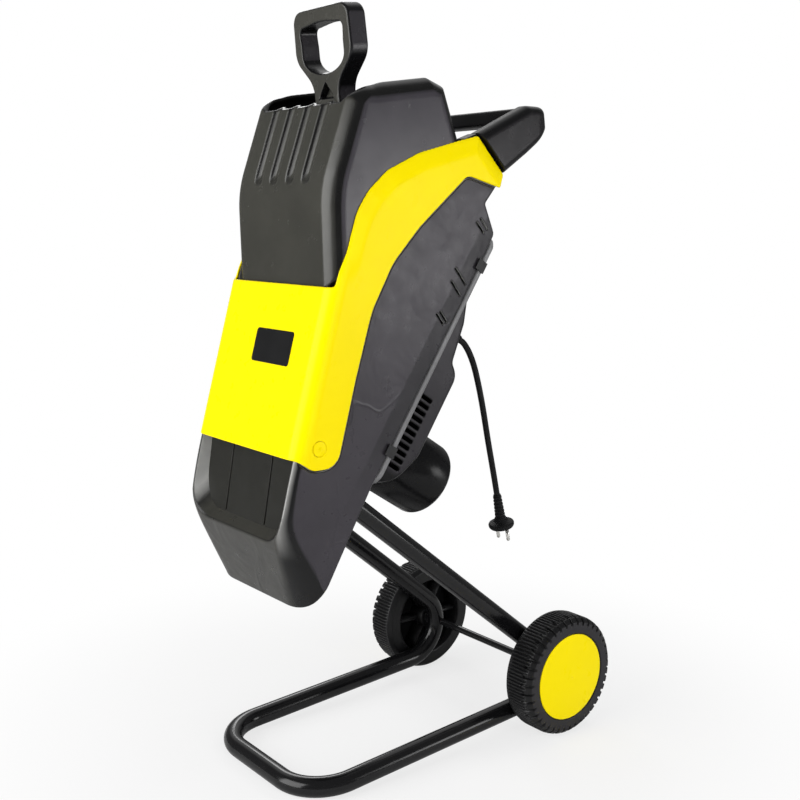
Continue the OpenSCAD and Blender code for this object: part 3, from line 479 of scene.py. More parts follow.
def hopper():
    g = Grid(((0, 60, 1.6), (60, 109, 1.25)), ((-180, 34, 1.4),),
             ((420, 600, 3), (600, 690, 2), (690, 846, 1.25)))
    upper = g.lean(*HOPPER_PANEL)
    front = ease(g.lean(-168, 604, -1.6), upper, 9)
    # a crease at the panel's edge, then an arc round to the side
    arc = np.hypot(np.maximum(g.ax - 77.3, 0), np.maximum(front + 34.9, 0)) - 36
    plan = ease(ease(front, arc, 0.8), g.ax - 106, 4)
    # the rim sweeps up from the front lip to the side walls
    round_the_corner = np.clip(g.ax - 79, 0, None) + 0.9 * np.clip(-front - 3, 0, None)
    sweep_up = 829 - 22 * (1 - np.clip(round_the_corner / 46, 0, 1)) ** 2 + 0.15 * np.clip(g.y + 106, 0, None)
    top = np.maximum(g.outline(soft(HOPPER)), 0.85 * (g.z - sweep_up))
    body = meet(plan, top, 2 + 19 * step_up(round_the_corner / 36))
    depth, along = -upper, g.up(*HOPPER_PANEL)
    flute = np.full((1, 1, 1), 1e3, np.float32)
    for x in (17, 50):
        one = np.hypot(g.ax - x, depth + 5) - 9.8
        flute = np.minimum(flute, meet(one, (3 + 2 * np.clip(depth, -2, 9) - along) / 2.2, 4))
    grown = flute - 4
    hollow = np.maximum(body + 5, -grown)
    mouth = meet(meet(front + 5, g.ax - 90, 14), np.maximum(775 - g.z, g.y + 14), 8)
    mouth = np.maximum(mouth, -grown)
    c, s = math.cos(CHUTE_LEAN), math.sin(CHUTE_LEAN)
    cy = (g.y - CHUTE[0]) * c + (g.z - CHUTE[1]) * s
    cz = (g.z - CHUTE[1]) * c - (g.y - CHUTE[0]) * s
    n = g.off_ridge()
    collar = np.maximum(meet(g.ax - 49, np.abs(cy) - 31, 5), cz + 164)
    collar = np.maximum(collar, np.maximum(n + 31, -cz - 430))
    bore = np.maximum(meet(g.ax - 46, np.abs(cy) - 28, 3), cz + 158)
    form = cut(np.maximum(body, -hollow), mouth, 1.8)
    form = cut(form, flute, 1)
    form = cut(join(form, collar, 2), bore, 1)
    return moulded("hopper_shell", g, form, 80000)


def plunger():
    g = Grid(((0, 61, 1.15),), ((-36, 36, 1.25),), ((-212, -24, 2), (-24, 104, 1.15)))
    face = g.outline_xz(soft([(-55.5, 100, 16), (55.5, 100, 16), (57.5, 43, 26), (25, 12, 30), (26, -12),
                              (-26, -12), (-25, 12, 30), (-57.5, 43, 26)], 12))
    turn = np.linspace(0, math.pi, 25)
    crown = soft([(-41, 60), (-43, 79, 7), (0, 84, 120), (43, 79, 7), (41, 60)], 12)
    arc = np.stack([41 * np.cos(turn), 47 - 22 * np.sin(turn)], 1)
    loop = g.outline_xz(np.concatenate([crown, arc]))
    handle = cut(meet(face, np.abs(g.y) - 13, 3.2), loop, 2)
    # three-cornered pocket at the foot of the handle, closed below by a round sill
    pocket = np.maximum((g.ax * 22 + (g.z - 15) * 18) / 28.4, g.y + 4)
    handle = cut(handle, np.maximum(pocket, -14 - g.z), 1)
    sill = meet(g.ax - 17, np.hypot(g.y + 6.5, g.z + 11) - 7, 2)
    handle = join(handle, sill, 1)
    stem = np.maximum(meet(g.ax - 22, np.abs(g.y) - 11, 3), np.maximum(-186 - g.z, g.z + 4))
    rib = np.maximum(np.maximum(np.abs(g.ax - 12) - 1.5, np.abs(g.y) - 18), np.maximum(-186 - g.z, g.z + 26))
    collar = meet(meet(g.ax - 49, np.abs(g.y) - 31, 6), np.abs(g.z + 161.5) - 2.5, 1)
    foot = meet(meet(g.ax - 44, np.abs(g.y) - 26, 6), np.abs(g.z + 197) - 11, 2)
    form = join(join(join(join(handle, stem, 5), rib, 1.5), collar, 1.5), foot, 1.5)
    c, s = math.cos(CHUTE_LEAN), math.sin(CHUTE_LEAN)

    def place(v):
        y, z = v[:, 1], v[:, 2]
        return np.stack([v[:, 0], CHUTE[0] + y * c - z * s, CHUTE[1] + y * s + z * c], 1)
    return moulded("push_handle", g, form, 40000, place)


def carry_grip():
    g = Grid(((0, 116, 1.4),), ((36, 173, 1.4),), ((726, 822, 1.4),))
    bar = g.outline(soft([(25, 788), (45, 779), (126, 816, 14), (158, 816, 11), (169, 787, 10),
                          (128, 758, 20), (89, 733), (60, 722)]))
    outer = meet(bar, meet(g.ax - 113, g.y - 171, 30), 12)
    form = cut(outer, meet(g.ax - 88, g.y - 140, 16), 5)
    form = np.maximum(form, -((g.y - 45.3) * 0.722 + (g.z - 779) * 0.691))
    # the bar across the back is slimmer than the arms
    form = cut(form, meet(g.ax - 84, g.z - 795, 10), 5)
    return moulded("carry_loop", g, form, 40000)


COVER = [(0, 0), (0, 15, 8), (20, 41, 20), (62, 58, 30), (175, 58, 20), (186, 42, 8), (235, 32, 20),
         (262, 20, 20), (335, 6, 4), (345, 0)]


def rear_cover():
    # grid axes: x, n out of the slope, u up the slope
    g = Grid(((-114, -86, 1.2), (-86, 86, 1.8), (86, 114, 1.2)), ((-2.6, 66, 1.5),),
             ((-6, 150, 1.2), (150, 350, 1.8)), mirrored=False)
    n, u = g.y, g.z
    motor, knob = np.hypot(g.x, u - MOTOR_UP), np.hypot(g.x, u - KNOB_UP)
    gland_axis = np.hypot(g.x - GLAND[0], u - GLAND[1])
    from_switch = np.abs(g.x - SWITCH[0]), np.abs(u - SWITCH[1])
    body = meet(g.outline([(b, a) for a, b in soft(COVER)]), meet(g.ax - 95, -3 - u, 44), 7)
    hollow = np.maximum(body + 4, -n - 9)
    flange = meet(meet(meet(g.ax - BODY_HALF, 1 - u, 20), u - 344, 20), np.maximum(-n, n - 6.5), 0.7)
    form = join(np.maximum(body, -n), flange, 1.5)
    form = join(form, np.maximum(knob - 14, n - 23), 4)
    form = join(form, meet(gland_axis - 13, n - 36, 1.5), 3)
    form = join(form, meet(meet(from_switch[0] - 29, from_switch[1] - 37, 6), n - 38, 1.5), 4)
    form = join(form, meet(motor - 54, n - 62, 2), 4)
    form = np.maximum(form, -n)
    opening = np.maximum(meet(g.ax - 91, 7 - u, 20), np.maximum(u - 338, n - 4))
    form = np.maximum(form, -np.minimum(hollow, opening))
    for bore in (motor - 50.2, np.maximum(knob - 4.4, -n), np.maximum(gland_axis - 7, 20 - n),
                 np.maximum(np.maximum(from_switch[0] - 22, from_switch[1] - 30), 5 - n)):
        form = np.maximum(form, -bore)
    slot = np.abs((u - 36 + 4.6) % 9.2 - 4.6) - 2.3
    vents = np.maximum(np.maximum(slot, np.abs(n - 25) - 11), np.maximum(np.abs(u - 82) - 49, 84 - g.ax))
    form = cut(form, vents, 0.8)
    return moulded("drum_cover", g, form, 60000, framed(np.array((0, *RIDGE)), SIDE, OUT, UP))


# Frame, wheels and turned pieces


def tube_line():
    """Centre line of the frame tube on the right-hand side, from the middle of the foot up to the body."""
    rise = math.asin((80 - 50 - 12.5) / 327)
    run = 327 / math.cos(rise)
    turn = math.pi - math.radians(39.4) - rise
    lean = math.radians(2.6)
    local = [(x, 0, 0) for x in (0, 16, 32, 49)]
    local += [(50 + 58 * math.sin(t), 58 - 58 * math.cos(t), 0) for t in np.linspace(0, math.pi / 2, 20)]
    local += [(108, s, 0) for s in np.linspace(62, run - 2, 14)]
    side = np.array((-math.sin(lean), 0, math.cos(lean)))
    base = np.array((108, run, 0))
    for t in np.linspace(-math.pi / 2, turn - math.pi / 2, 26):
        local.append(base + 50 * side + 50 * (math.cos(t) * np.array((0, 1, 0)) + math.sin(t) * side))
    end = turn - math.pi / 2
    along = -math.sin(end) * np.array((0, 1, 0)) + math.cos(end) * side
    local += [local[-1] + along * k for k in np.linspace(16, 412, 22)]
    p = np.array([np.array(v, float) for v in local])
    return np.stack([p[:, 0], -211 + p[:, 1] * math.cos(rise) - p[:, 2] * math.sin(rise),
                     12.5 + p[:, 1] * math.sin(rise) + p[:, 2] * math.cos(rise)], 1)


def sweep(line, radius, sides=32):
    """Round tube along a line of points, with both ends closed."""
    t = np.gradient(line, axis=0)
    t /= np.linalg.norm(t, axis=1)[:, None]
    a = np.array((0, 0, 1.0)) if abs(t[0][2]) < 0.9 else np.array((0, 1.0, 0))
    rings = []
    for place, d in zip(line, t):
        a = a - d * (a @ d)
        a /= np.linalg.norm(a)
        b = np.cross(d, a)
        turn = np.linspace(0, 2 * math.pi, sides, endpoint=False)[:, None]
        rings.append(place + radius * (np.cos(turn) * a + np.sin(turn) * b))
    verts = np.concatenate(rings + [line[:1], line[-1:]])
    n = len(line)
    i, j = np.arange(n - 1)[:, None], np.arange(sides)[None]
    k = (j + 1) % sides
    corners = [i * sides + j, i * sides + k, (i + 1) * sides + k, (i + 1) * sides + j]
    faces = np.stack(corners, 2).reshape(-1, 4)
    j = np.arange(0, sides, 2)
    cap = np.stack([0 * j, j, j + 1, (j + 2) % sides], 1)
    first, last = cap.copy(), cap + (n - 1) * sides
    first[:, 0], last[:, 0] = n * sides, n * sides + 1
    return verts, np.concatenate([faces, first[:, ::-1], last])


def frame_tube():
    half = tube_line()
    line = np.concatenate([half[:0:-1] * (-1, 1, 1), half])
    return add_mesh("tube_frame", *sweep(line, 12.5, 36))


def turned_on_axle(form, side):
    """From z along the axle, measured from the wheel's inner face, to its place on one side."""
    v, f = form
    placed = np.stack([side * (WHEEL_INNER + v[:, 2]), AXLE[0] + v[:, 0], AXLE[1] + v[:, 1]], 1)
    return placed, f if side > 0 else f[:, ::-1]


def box_form(lo, hi):
    f = np.array([(0, 1, 3, 2), (4, 6, 7, 5), (0, 4, 5, 1), (2, 3, 7, 6), (0, 2, 6, 4), (1, 5, 7, 3)])
    return np.where(CORNERS, hi, lo).astype(float), f


def spun(form, angle):
    v, f = form
    c, s = math.cos(angle), math.sin(angle)
    return np.stack([v[:, 0] * c - v[:, 1] * s, v[:, 0] * s + v[:, 1] * c, v[:, 2]], 1), f


def wheel(side):
    ribs, per_rib, lugs = 108, 8, 42
    steps = ribs * per_rib
    turn = np.linspace(0, 2 * math.pi, steps, endpoint=False)
    profile = soft([(56.6, 0.6), (57.5, 0), (73.5, 0, 2), (78.6, 5, 3), (80, 10, 6), (80, 36, 6),
                    (78.6, 41, 3), (73.5, 46, 2), (60, 46, 2), (58, 45), (56.6, 42)], 4)
    fine = []
    for a, b in zip(profile[:-1], profile[1:]):
        k = max(1, int(np.hypot(*(b - a)) / 3))
        fine += [a + (b - a) * i / k for i in range(k)]
    profile = np.array(fine + [profile[-1]])
    r, w = profile[:, 0][None], profile[:, 1][None]
    rib = np.clip(1.6 * np.cos(turn * ribs)[:, None] + 0.3, -1, 1)
    tread = np.clip((r - 77.5) / 1.2, 0, 1) * np.clip(np.minimum(w - 6, 40 - w) / 1.5, 0, 1)
    slot = np.clip((0.16 - np.abs((turn * lugs / (2 * math.pi)) % 1 - 0.5)) / 0.04, 0, 1)[:, None]
    outer = np.clip((r - 71.8) / 1, 0, 1) * np.clip((w - 33) / 3, 0, 1)
    r = r - 1.3 * (1 - rib) * tread - 3 * slot * outer * np.clip((r - 76) / 2, 0, 1)
    w = w - 4.5 * slot * outer
    verts = np.stack([r * np.cos(turn)[:, None], r * np.sin(turn)[:, None], np.broadcast_to(w, r.shape)], 2)
    tyre = (verts.reshape(-1, 3), wrap_faces(steps, len(profile)))
    hub = lathe(soft([(5.06, 0), (16, 0), (17, 1), (17, 29, 1), (56.6, 30, 1), (56.6, 35), (17, 35),
                      (16.4, 36), (5.06, 36)], 3), 72)
    spokes = [spun(box_form((15, -2, 8), (57, 2, 31)), math.radians(a)) for a in range(0, 360, 60)]
    name = "tyre_right" if side > 0 else "tyre_left"
    return add_mesh(name, *turned_on_axle(joined(tyre, hub, *spokes), side))


def hub_cap(side):
    z = 35  # the web of the wheel, which the cap stands on
    dome = [(r, z + 10.5 + 2.8 * (1 - (r / 57.2) ** 2)) for r in np.linspace(57.2, 0, 24)]
    skirt = [(53, z), (55.9, z), (55.9, z + 7.5), (57.6, z + 9.8), (57.6, z + 10.3)]
    profile = skirt + dome + [(0, z + 10), (53, z + 8)]
    return add_mesh("cap_right" if side > 0 else "cap_left", *turned_on_axle(lathe(profile, 128), side))


def motor_can():
    profile = soft([(46.8, 54), (50, 54), (50, 162, 9), (16, 162, 0.5), (15, 161.4), (0, 161.4), (0, 158),
                    (44, 158, 6), (46.8, 140)], 10)
    v, f = lathe(profile, 128)
    return add_mesh("can", on_ridge(0, MOTOR_UP)(v), f)


def screw_caps():
    forms = []
    for s in (-1, 1):
        v, f = lathe(soft([(0, 108), (8.75, 108), (8.75, 113.1, 0.5), (4, 113.3), (0, 113.3)], 4), 48)
        placed = np.stack([s * v[:, 2], SCREW_CAP[0] + v[:, 0], SCREW_CAP[1] + v[:, 1]], 1)
        forms.append((placed, f if s > 0 else f[:, ::-1]))
    return add_mesh("caps", *joined(*forms))


def ribs(start, pitch, wide, grow, deep, width, edge):
    """Six ribs of a bend sleeve, as a stretch of a profile."""
    out = []
    for k in range(6):
        z, r = start + pitch * k, wide + grow * k
        out += [(r - deep, z, 0.3), (r, z + 0.8, edge)]
        out += [(r, z + width - 0.8, edge), (r - deep, z + width, 0.3)]
    return out


def plug():
    profile = [(0, -0.5), (5.2, -0.5)] + ribs(1, 5, 5.8, 0.22, 0.9, 4, 0.5)
    profile += [(7.4, 32, 1), (10, 37, 2), (16.6, 39.6, 1), (17.5, 41.2, 1), (17.3, 44.4, 1),
                (15.4, 47, 0.8), (0, 47)]
    v, f = lathe(soft(profile, 4), 64)
    return add_mesh("plug_body", on_plug()(v), f[:, ::-1])


def plug_pins():
    forms = []
    for x in (-9.5, 9.5):
        v, f = lathe(soft([(0, 41), (2.4, 41), (2.4, 63.6, 0.8), (1.6, 65, 0.6), (0, 65)], 4), 32)
        forms.append((on_plug()(v + (x, 0, 0)), f[:, ::-1]))
    return add_mesh("prongs", *joined(*forms))


def gland():
    profile = [(0, 24), (7, 24), (7, 36), (10, 36), (10, 39.4, 0.8), (7.6, 40, 0.4)]
    profile += ribs(41, 4.1, 7.1, -0.3, 0.7, 3.3, 0.4) + [(5.4, 65, 0.4), (4.2, 66), (0, 66)]
    v, f = lathe(soft(profile, 3), 48)
    return add_mesh("cord_sleeve", on_ridge(*GLAND)(v), f)


def plate(name, points, low, high, place, edge):
    """Flat plate with an eased edge from an outline in x and y, placed by a function of its points."""
    p = np.array(points, float)

    def inset(d):
        q = np.roll(p, -1, 0) - np.roll(p, 1, 0)
        normal = np.stack([q[:, 1], -q[:, 0]], 1)
        normal /= np.linalg.norm(normal, axis=1)[:, None] + 1e-9
        return p - normal * d
    n = len(p)
    verts = np.concatenate([np.c_[inset(d), np.full(n, z)] for d, z in (
        (0, low), (0, high - edge), (edge * 0.3, high - edge * 0.3), (edge, high))])
    faces = [[k * n + i, k * n + (i + 1) % n, (k + 1) * n + (i + 1) % n, (k + 1) * n + i]
             for k in range(3) for i in range(n)]
    faces += [[3 * n + i for i in range(n)], list(range(n))[::-1]]
    obj = add_mesh(name, place(verts), faces)
    obj.data.polygons[len(faces) - 2].use_smooth = False
    return obj


def nose_panels():
    low, high = -84, 24
    return [plate("nose_panel_" + word, soft(points), 0, 2.6, on_front(*NOSE_BACK), 0.7) for word, points in (
        ("middle", [(-42.4, low), (42.4, low), (42.4, high), (-42.4, high)]),
        ("right", [(44.6, low), (98, low, 28), (98, high), (44.6, high)]),
        ("left", [(-98, low, 28), (-44.6, low), (-44.6, high), (-98, high)]))]


def label():
    outline = soft([(-19, 102, 4), (59, 102, 4), (59, 142, 4), (-19, 142, 4)], 6)
    return plate("blank_label", outline, 2.6, 4.2, on_front(*FRONT), 0.5)


# Materials


def new_material(name):
    m = bpy.data.materials.new(name)
    m.use_nodes = True
    tree = m.node_tree
    return m, tree, tree.nodes["Principled BSDF"]


def coords(tree, kind="Object"):
    return tree.nodes.new("ShaderNodeTexCoord").outputs[kind]


def wire(tree, shader, colour, rough, normal):
    for value, socket in ((colour, "Base Color"), (rough, "Roughness"), (normal, "Normal")):
        tree.links.new(value, shader.inputs[socket])


def noise(tree, coord, scale, detail=3.0, rough=0.55, distort=0.0, stretch=None):
    n = tree.nodes.new("ShaderNodeTexNoise")
    n.inputs["Scale"].default_value = scale
    n.inputs["Detail"].default_value = detail
    n.inputs["Roughness"].default_value = rough
    n.inputs["Distortion"].default_value = distort
    if stretch:
        mapping = tree.nodes.new("ShaderNodeMapping")
        mapping.inputs["Scale"].default_value = stretch[:3]
        if len(stretch) > 3:
            mapping.inputs["Rotation"].default_value = stretch[3]
        tree.links.new(coord, mapping.inputs["Vector"])
        coord = mapping.outputs["Vector"]
    tree.links.new(coord, n.inputs["Vector"])
    return n.outputs["Fac"]


def feed(tree, value, socket):
    """Sets a socket, or links it to the node that gives the value."""
    if isinstance(value, (int, float)):
        socket.default_value = value
    elif isinstance(value, tuple):
        socket.default_value = (*value, 1)
    else:
        tree.links.new(value, socket)


def ramp(tree, value, *stops):
    r = tree.nodes.new("ShaderNodeValToRGB")
    while len(r.color_ramp.elements) < len(stops):
        r.color_ramp.elements.new(0.5)
    for element, (place, colour) in zip(r.color_ramp.elements, stops):
        element.position = place
        element.color = (*colour, 1) if isinstance(colour, tuple) else (colour, colour, colour, 1)
    tree.links.new(value, r.inputs["Fac"])
    return r.outputs["Color"]


def blend(tree, factor, a, b, mode="MIX"):
    """b laid over a by the factor."""
    m = tree.nodes.new("ShaderNodeMix")
    m.data_type = "RGBA"
    m.blend_type = mode
    for value, socket in ((factor, "Factor"), (a, "A"), (b, "B")):
        feed(tree, value, m.inputs[socket])
    return m.outputs["Result"]


def remap(tree, value, start, end, low, high, how="LINEAR"):
    """A value that runs from start to end, made to run from low to high."""
    m = tree.nodes.new("ShaderNodeMapRange")
    m.interpolation_type = how
    for socket, number in (("From Min", start), ("From Max", end), ("To Min", low), ("To Max", high)):
        m.inputs[socket].default_value = number
    tree.links.new(value, m.inputs["Value"])
    return m.outputs["Result"]


def spread(tree, value, low, high):
    """The middle of a noise, spread over a range."""
    return remap(tree, value, 0.3, 0.7, low, high)


def bump(tree, height, strength, distance, under=None):
    b = tree.nodes.new("ShaderNodeBump")
    b.inputs["Strength"].default_value = strength
    b.inputs["Distance"].default_value = distance
    tree.links.new(height, b.inputs["Height"])
    if under is not None:
        tree.links.new(under, b.inputs["Normal"])
    return b.outputs["Normal"]


def shade(colour, k):
    return tuple(min(1.0, c * k) for c in colour)


def maths(tree, how, *values):
    node = tree.nodes.new("ShaderNodeMath")
    node.operation = how
    for value, socket in zip(values, node.inputs):
        feed(tree, value, socket)
    return node.outputs["Value"]


def times(tree, a, b):
    return maths(tree, "MULTIPLY", a, b)


def split(tree, vector):
    node = tree.nodes.new("ShaderNodeSeparateXYZ")
    tree.links.new(vector, node.inputs["Vector"])
    return node.outputs


def reach(tree, vector, way):
    """How far a vector goes one way."""
    node = tree.nodes.new("ShaderNodeVectorMath")
    node.operation = "DOT_PRODUCT"
    tree.links.new(vector, node.inputs[0])
    node.inputs[1].default_value = way
    return node.outputs["Value"]


def facing(tree, way, low, high):
    """1 where the moulded surface faces one way, 0 where it turns from it."""
    normal = split(tree, coords(tree, "Normal"))
    if way == "front":
        value = times(tree, normal["Y"], -1)
    elif way == "side":
        value = maths(tree, "ABSOLUTE", normal["X"])
    elif way == "up":
        value = normal["Z"]
    else:
        value = times(tree, normal["X"], maths(tree, "SIGN", split(tree, coords(tree))["X"]))
        if way == "inward":
            value = times(tree, value, -1)
    return ramp(tree, value, (low, 0.0), (high, 1.0))


def along_ridge(tree, coord, low, high, fade):
    """1 in a band along the parting ridge, between two heights in millimetres out of it."""
    start = (RIDGE[0] * OUT[1] + RIDGE[1] * OUT[2] + low - fade) * MM
    whole = high - low + 2 * fade
    height = maths(tree, "DIVIDE", maths(tree, "SUBTRACT", reach(tree, coord, OUT), start), whole * MM)
    return ramp(tree, height, (0.0, 0.0), (fade / whole, 1.0), (1 - fade / whole, 1.0), (1.0, 0.0))


def creases(tree, coord):
    """Thin wandering lines in patches, as in a shell that was pressed in and sprang back."""
    lines = ramp(tree, noise(tree, coord, 8, 1.5, 0.5, 1.1), (0.47, 0.0), (0.5, 1.0), (0.53, 0.0))
    return blend(tree, 1.0, lines, ramp(tree, noise(tree, coord, 7, 1), (0.52, 0.0), (0.64, 1.0)), "MULTIPLY")


def mottled(tree, coord, colour, tone, scale=16):
    dark, light = shade(colour, 1 - tone), shade(colour, 1 + tone)
    return ramp(tree, noise(tree, coord, scale, 5, 0.6), (0.3, dark), (0.7, light))


def plastic(name, colour, rough, tone, grain, grain_scale=1500, specular=0.3, wear=1.3, scuffs=0.0, dents_and_crease_shade=0.0,
            side_reflection_colour=None, side="outward", front_reflection_colour=None, front=(0.89, 0.93), cheek_highlight_colour=None,
            flange_colour=None, ridge_shade_colour=None, rim_highlight_colour=None, sill_sheen_colour=None):
    """Moulded plastic: uneven tone, fine spark-eroded grain and worn edges.

    Where asked, it has scuffs, a shallowly dented surface with painted shade along its crease lines, and
    colour by
    where the faces turn: painted reflections on faces to the side or the front, painted light on the cheeks,
    a painted highlight on the rim and painted sheen on the sill of the nose recess, a lighter band on the
    flange, and painted shade in a dark band along the parting ridge.
    """
    m, tree, shader = new_material(name)
    coord = coords(tree)
    colours = mottled(tree, coord, colour, tone, 14)
    edge = ramp(tree, tree.nodes.new("ShaderNodeNewGeometry").outputs["Pointiness"], (0.56, 0.0), (0.7, 1.0))
    worn = blend(tree, 1.0, edge, ramp(tree, noise(tree, coord, 90, 4), (0.42, 0.1), (0.62, 0.4)), "MULTIPLY")
    colours = blend(tree, worn, colours, shade(tuple(c + 0.01 for c in colour), wear))
    rough_out = spread(tree, noise(tree, coord, 60, 4), *rough)
    normal = bump(tree, noise(tree, coord, grain_scale, 2), grain, 0.0004)
    faces = []
    # painted reflection: faces turned to the side get a lighter grey, and the roundings between them stay
    # black
    if side_reflection_colour:
        faces.append((facing(tree, side, 0.94, 0.985), side_reflection_colour))
    # painted reflection: faces turned to the front get a lighter olive grey
    if front_reflection_colour:
        faces.append((facing(tree, "front", *front), front_reflection_colour))
    # painted light on the inward-facing cheeks of the nose recess
    if cheek_highlight_colour:
        faces.append((facing(tree, "inward", 0.6, 0.85), cheek_highlight_colour))
    if flange_colour:
        faces.append((along_ridge(tree, coord, -0.4, 6.4, 0.2), flange_colour))
    # painted shade: a darker band on the outward faces along the parting ridge
    if ridge_shade_colour:
        band = times(tree, along_ridge(tree, coord, -22, 3, 4), facing(tree, side, 0.9, 0.97))
        above_nose = ramp(tree, split(tree, coord)["Z"], (0.36, 0.0), (0.42, 1.0))
        faces.append((times(tree, band, above_nose), ridge_shade_colour))
    # painted highlight on the rounded rim beside the nose recess, fading to black on the side
    if rim_highlight_colour:
        on_side = facing(tree, "outward", 0.45, 0.85)
        turning = times(tree, facing(tree, "outward", 0.1, 0.3), maths(tree, "SUBTRACT", 1, on_side))
        beside = ramp(tree, split(tree, coord)["Z"], (0.3, 0.0), (0.36, 1.0))
        faces.append((times(tree, turning, beside), rim_highlight_colour))
    # painted sheen on the up-facing sill at the front of the nose
    if sill_sheen_colour:
        forward = ramp(tree, times(tree, split(tree, coord)["Y"], -1), (0.19, 0.0), (0.2, 1.0))
        faces.append((times(tree, facing(tree, "up", 0.5, 0.7), forward), sill_sheen_colour))
    # lay the painted reflections, light, sheen and shade, and the flange band, over the plastic's colour
    for where, tint in faces:
        colours = blend(tree, where, colours, mottled(tree, coord, tint, tone))
    if scuffs:
        streaks = noise(tree, coord, 30, 6, 0.7, 0.6, (1, 5, 0.9, (0.6, 0.2, 0.3)))
        marks = ramp(tree, streaks, (0.6, 0.0), (0.74, scuffs))
        colours = blend(tree, marks, colours, shade(tuple(c + 0.02 for c in colour), 1.9))
    if dents_and_crease_shade:
        lines = creases(tree, coord)
        normal = bump(tree, noise(tree, coord, 15, 2, 0.5, 1.4), dents_and_crease_shade, 0.004, normal)
        normal = bump(tree, lines, 0.3, 0.0012, normal)
        # painted shade darkens the crease lines
        colours = blend(tree, times(tree, lines, 0.14), colours, shade(side_reflection_colour or colour, 0.35))
    wire(tree, shader, colours, rough_out, normal)
    shader.inputs["Specular IOR Level"].default_value = specular
    return m


def metal(name, colour, rough=(0.25, 0.45), grain=0.1, stretch=(1, 1, 14), tone=0.15, scale=90):
    m, tree, shader = new_material(name)
    coord = coords(tree)
    lines = noise(tree, coord, scale, 5, 0.65, 0, stretch)
    colours = ramp(tree, lines, (0.3, shade(colour, 1 - tone)), (0.7, shade(colour, 1 + tone)))
    rough_out = spread(tree, noise(tree, coord, 40, 4), *rough)
    wire(tree, shader, colours, rough_out, bump(tree, lines, grain, 0.0003))
    shader.inputs["Metallic"].default_value = 1.0
    return m


def copper_wire(name):
    m, tree, shader = new_material(name)
    wave = tree.nodes.new("ShaderNodeTexWave")
    wave.inputs["Scale"].default_value = 320
    wave.inputs["Distortion"].default_value = 0.6
    tree.links.new(coords(tree), wave.inputs["Vector"])
    turns = wave.outputs["Fac"]
    colours = ramp(tree, turns, (0.1, (0.16, 0.05, 0.02)), (0.6, (0.62, 0.25, 0.1)))
    wire(tree, shader, colours, spread(tree, turns, 0.3, 0.45), bump(tree, turns, 0.6, 0.0008))
    shader.inputs["Metallic"].default_value = 1.0
    return m


BLACK = (0.005, 0.005, 0.0055)
SOFT_BLACK = (0.006, 0.006, 0.0065)

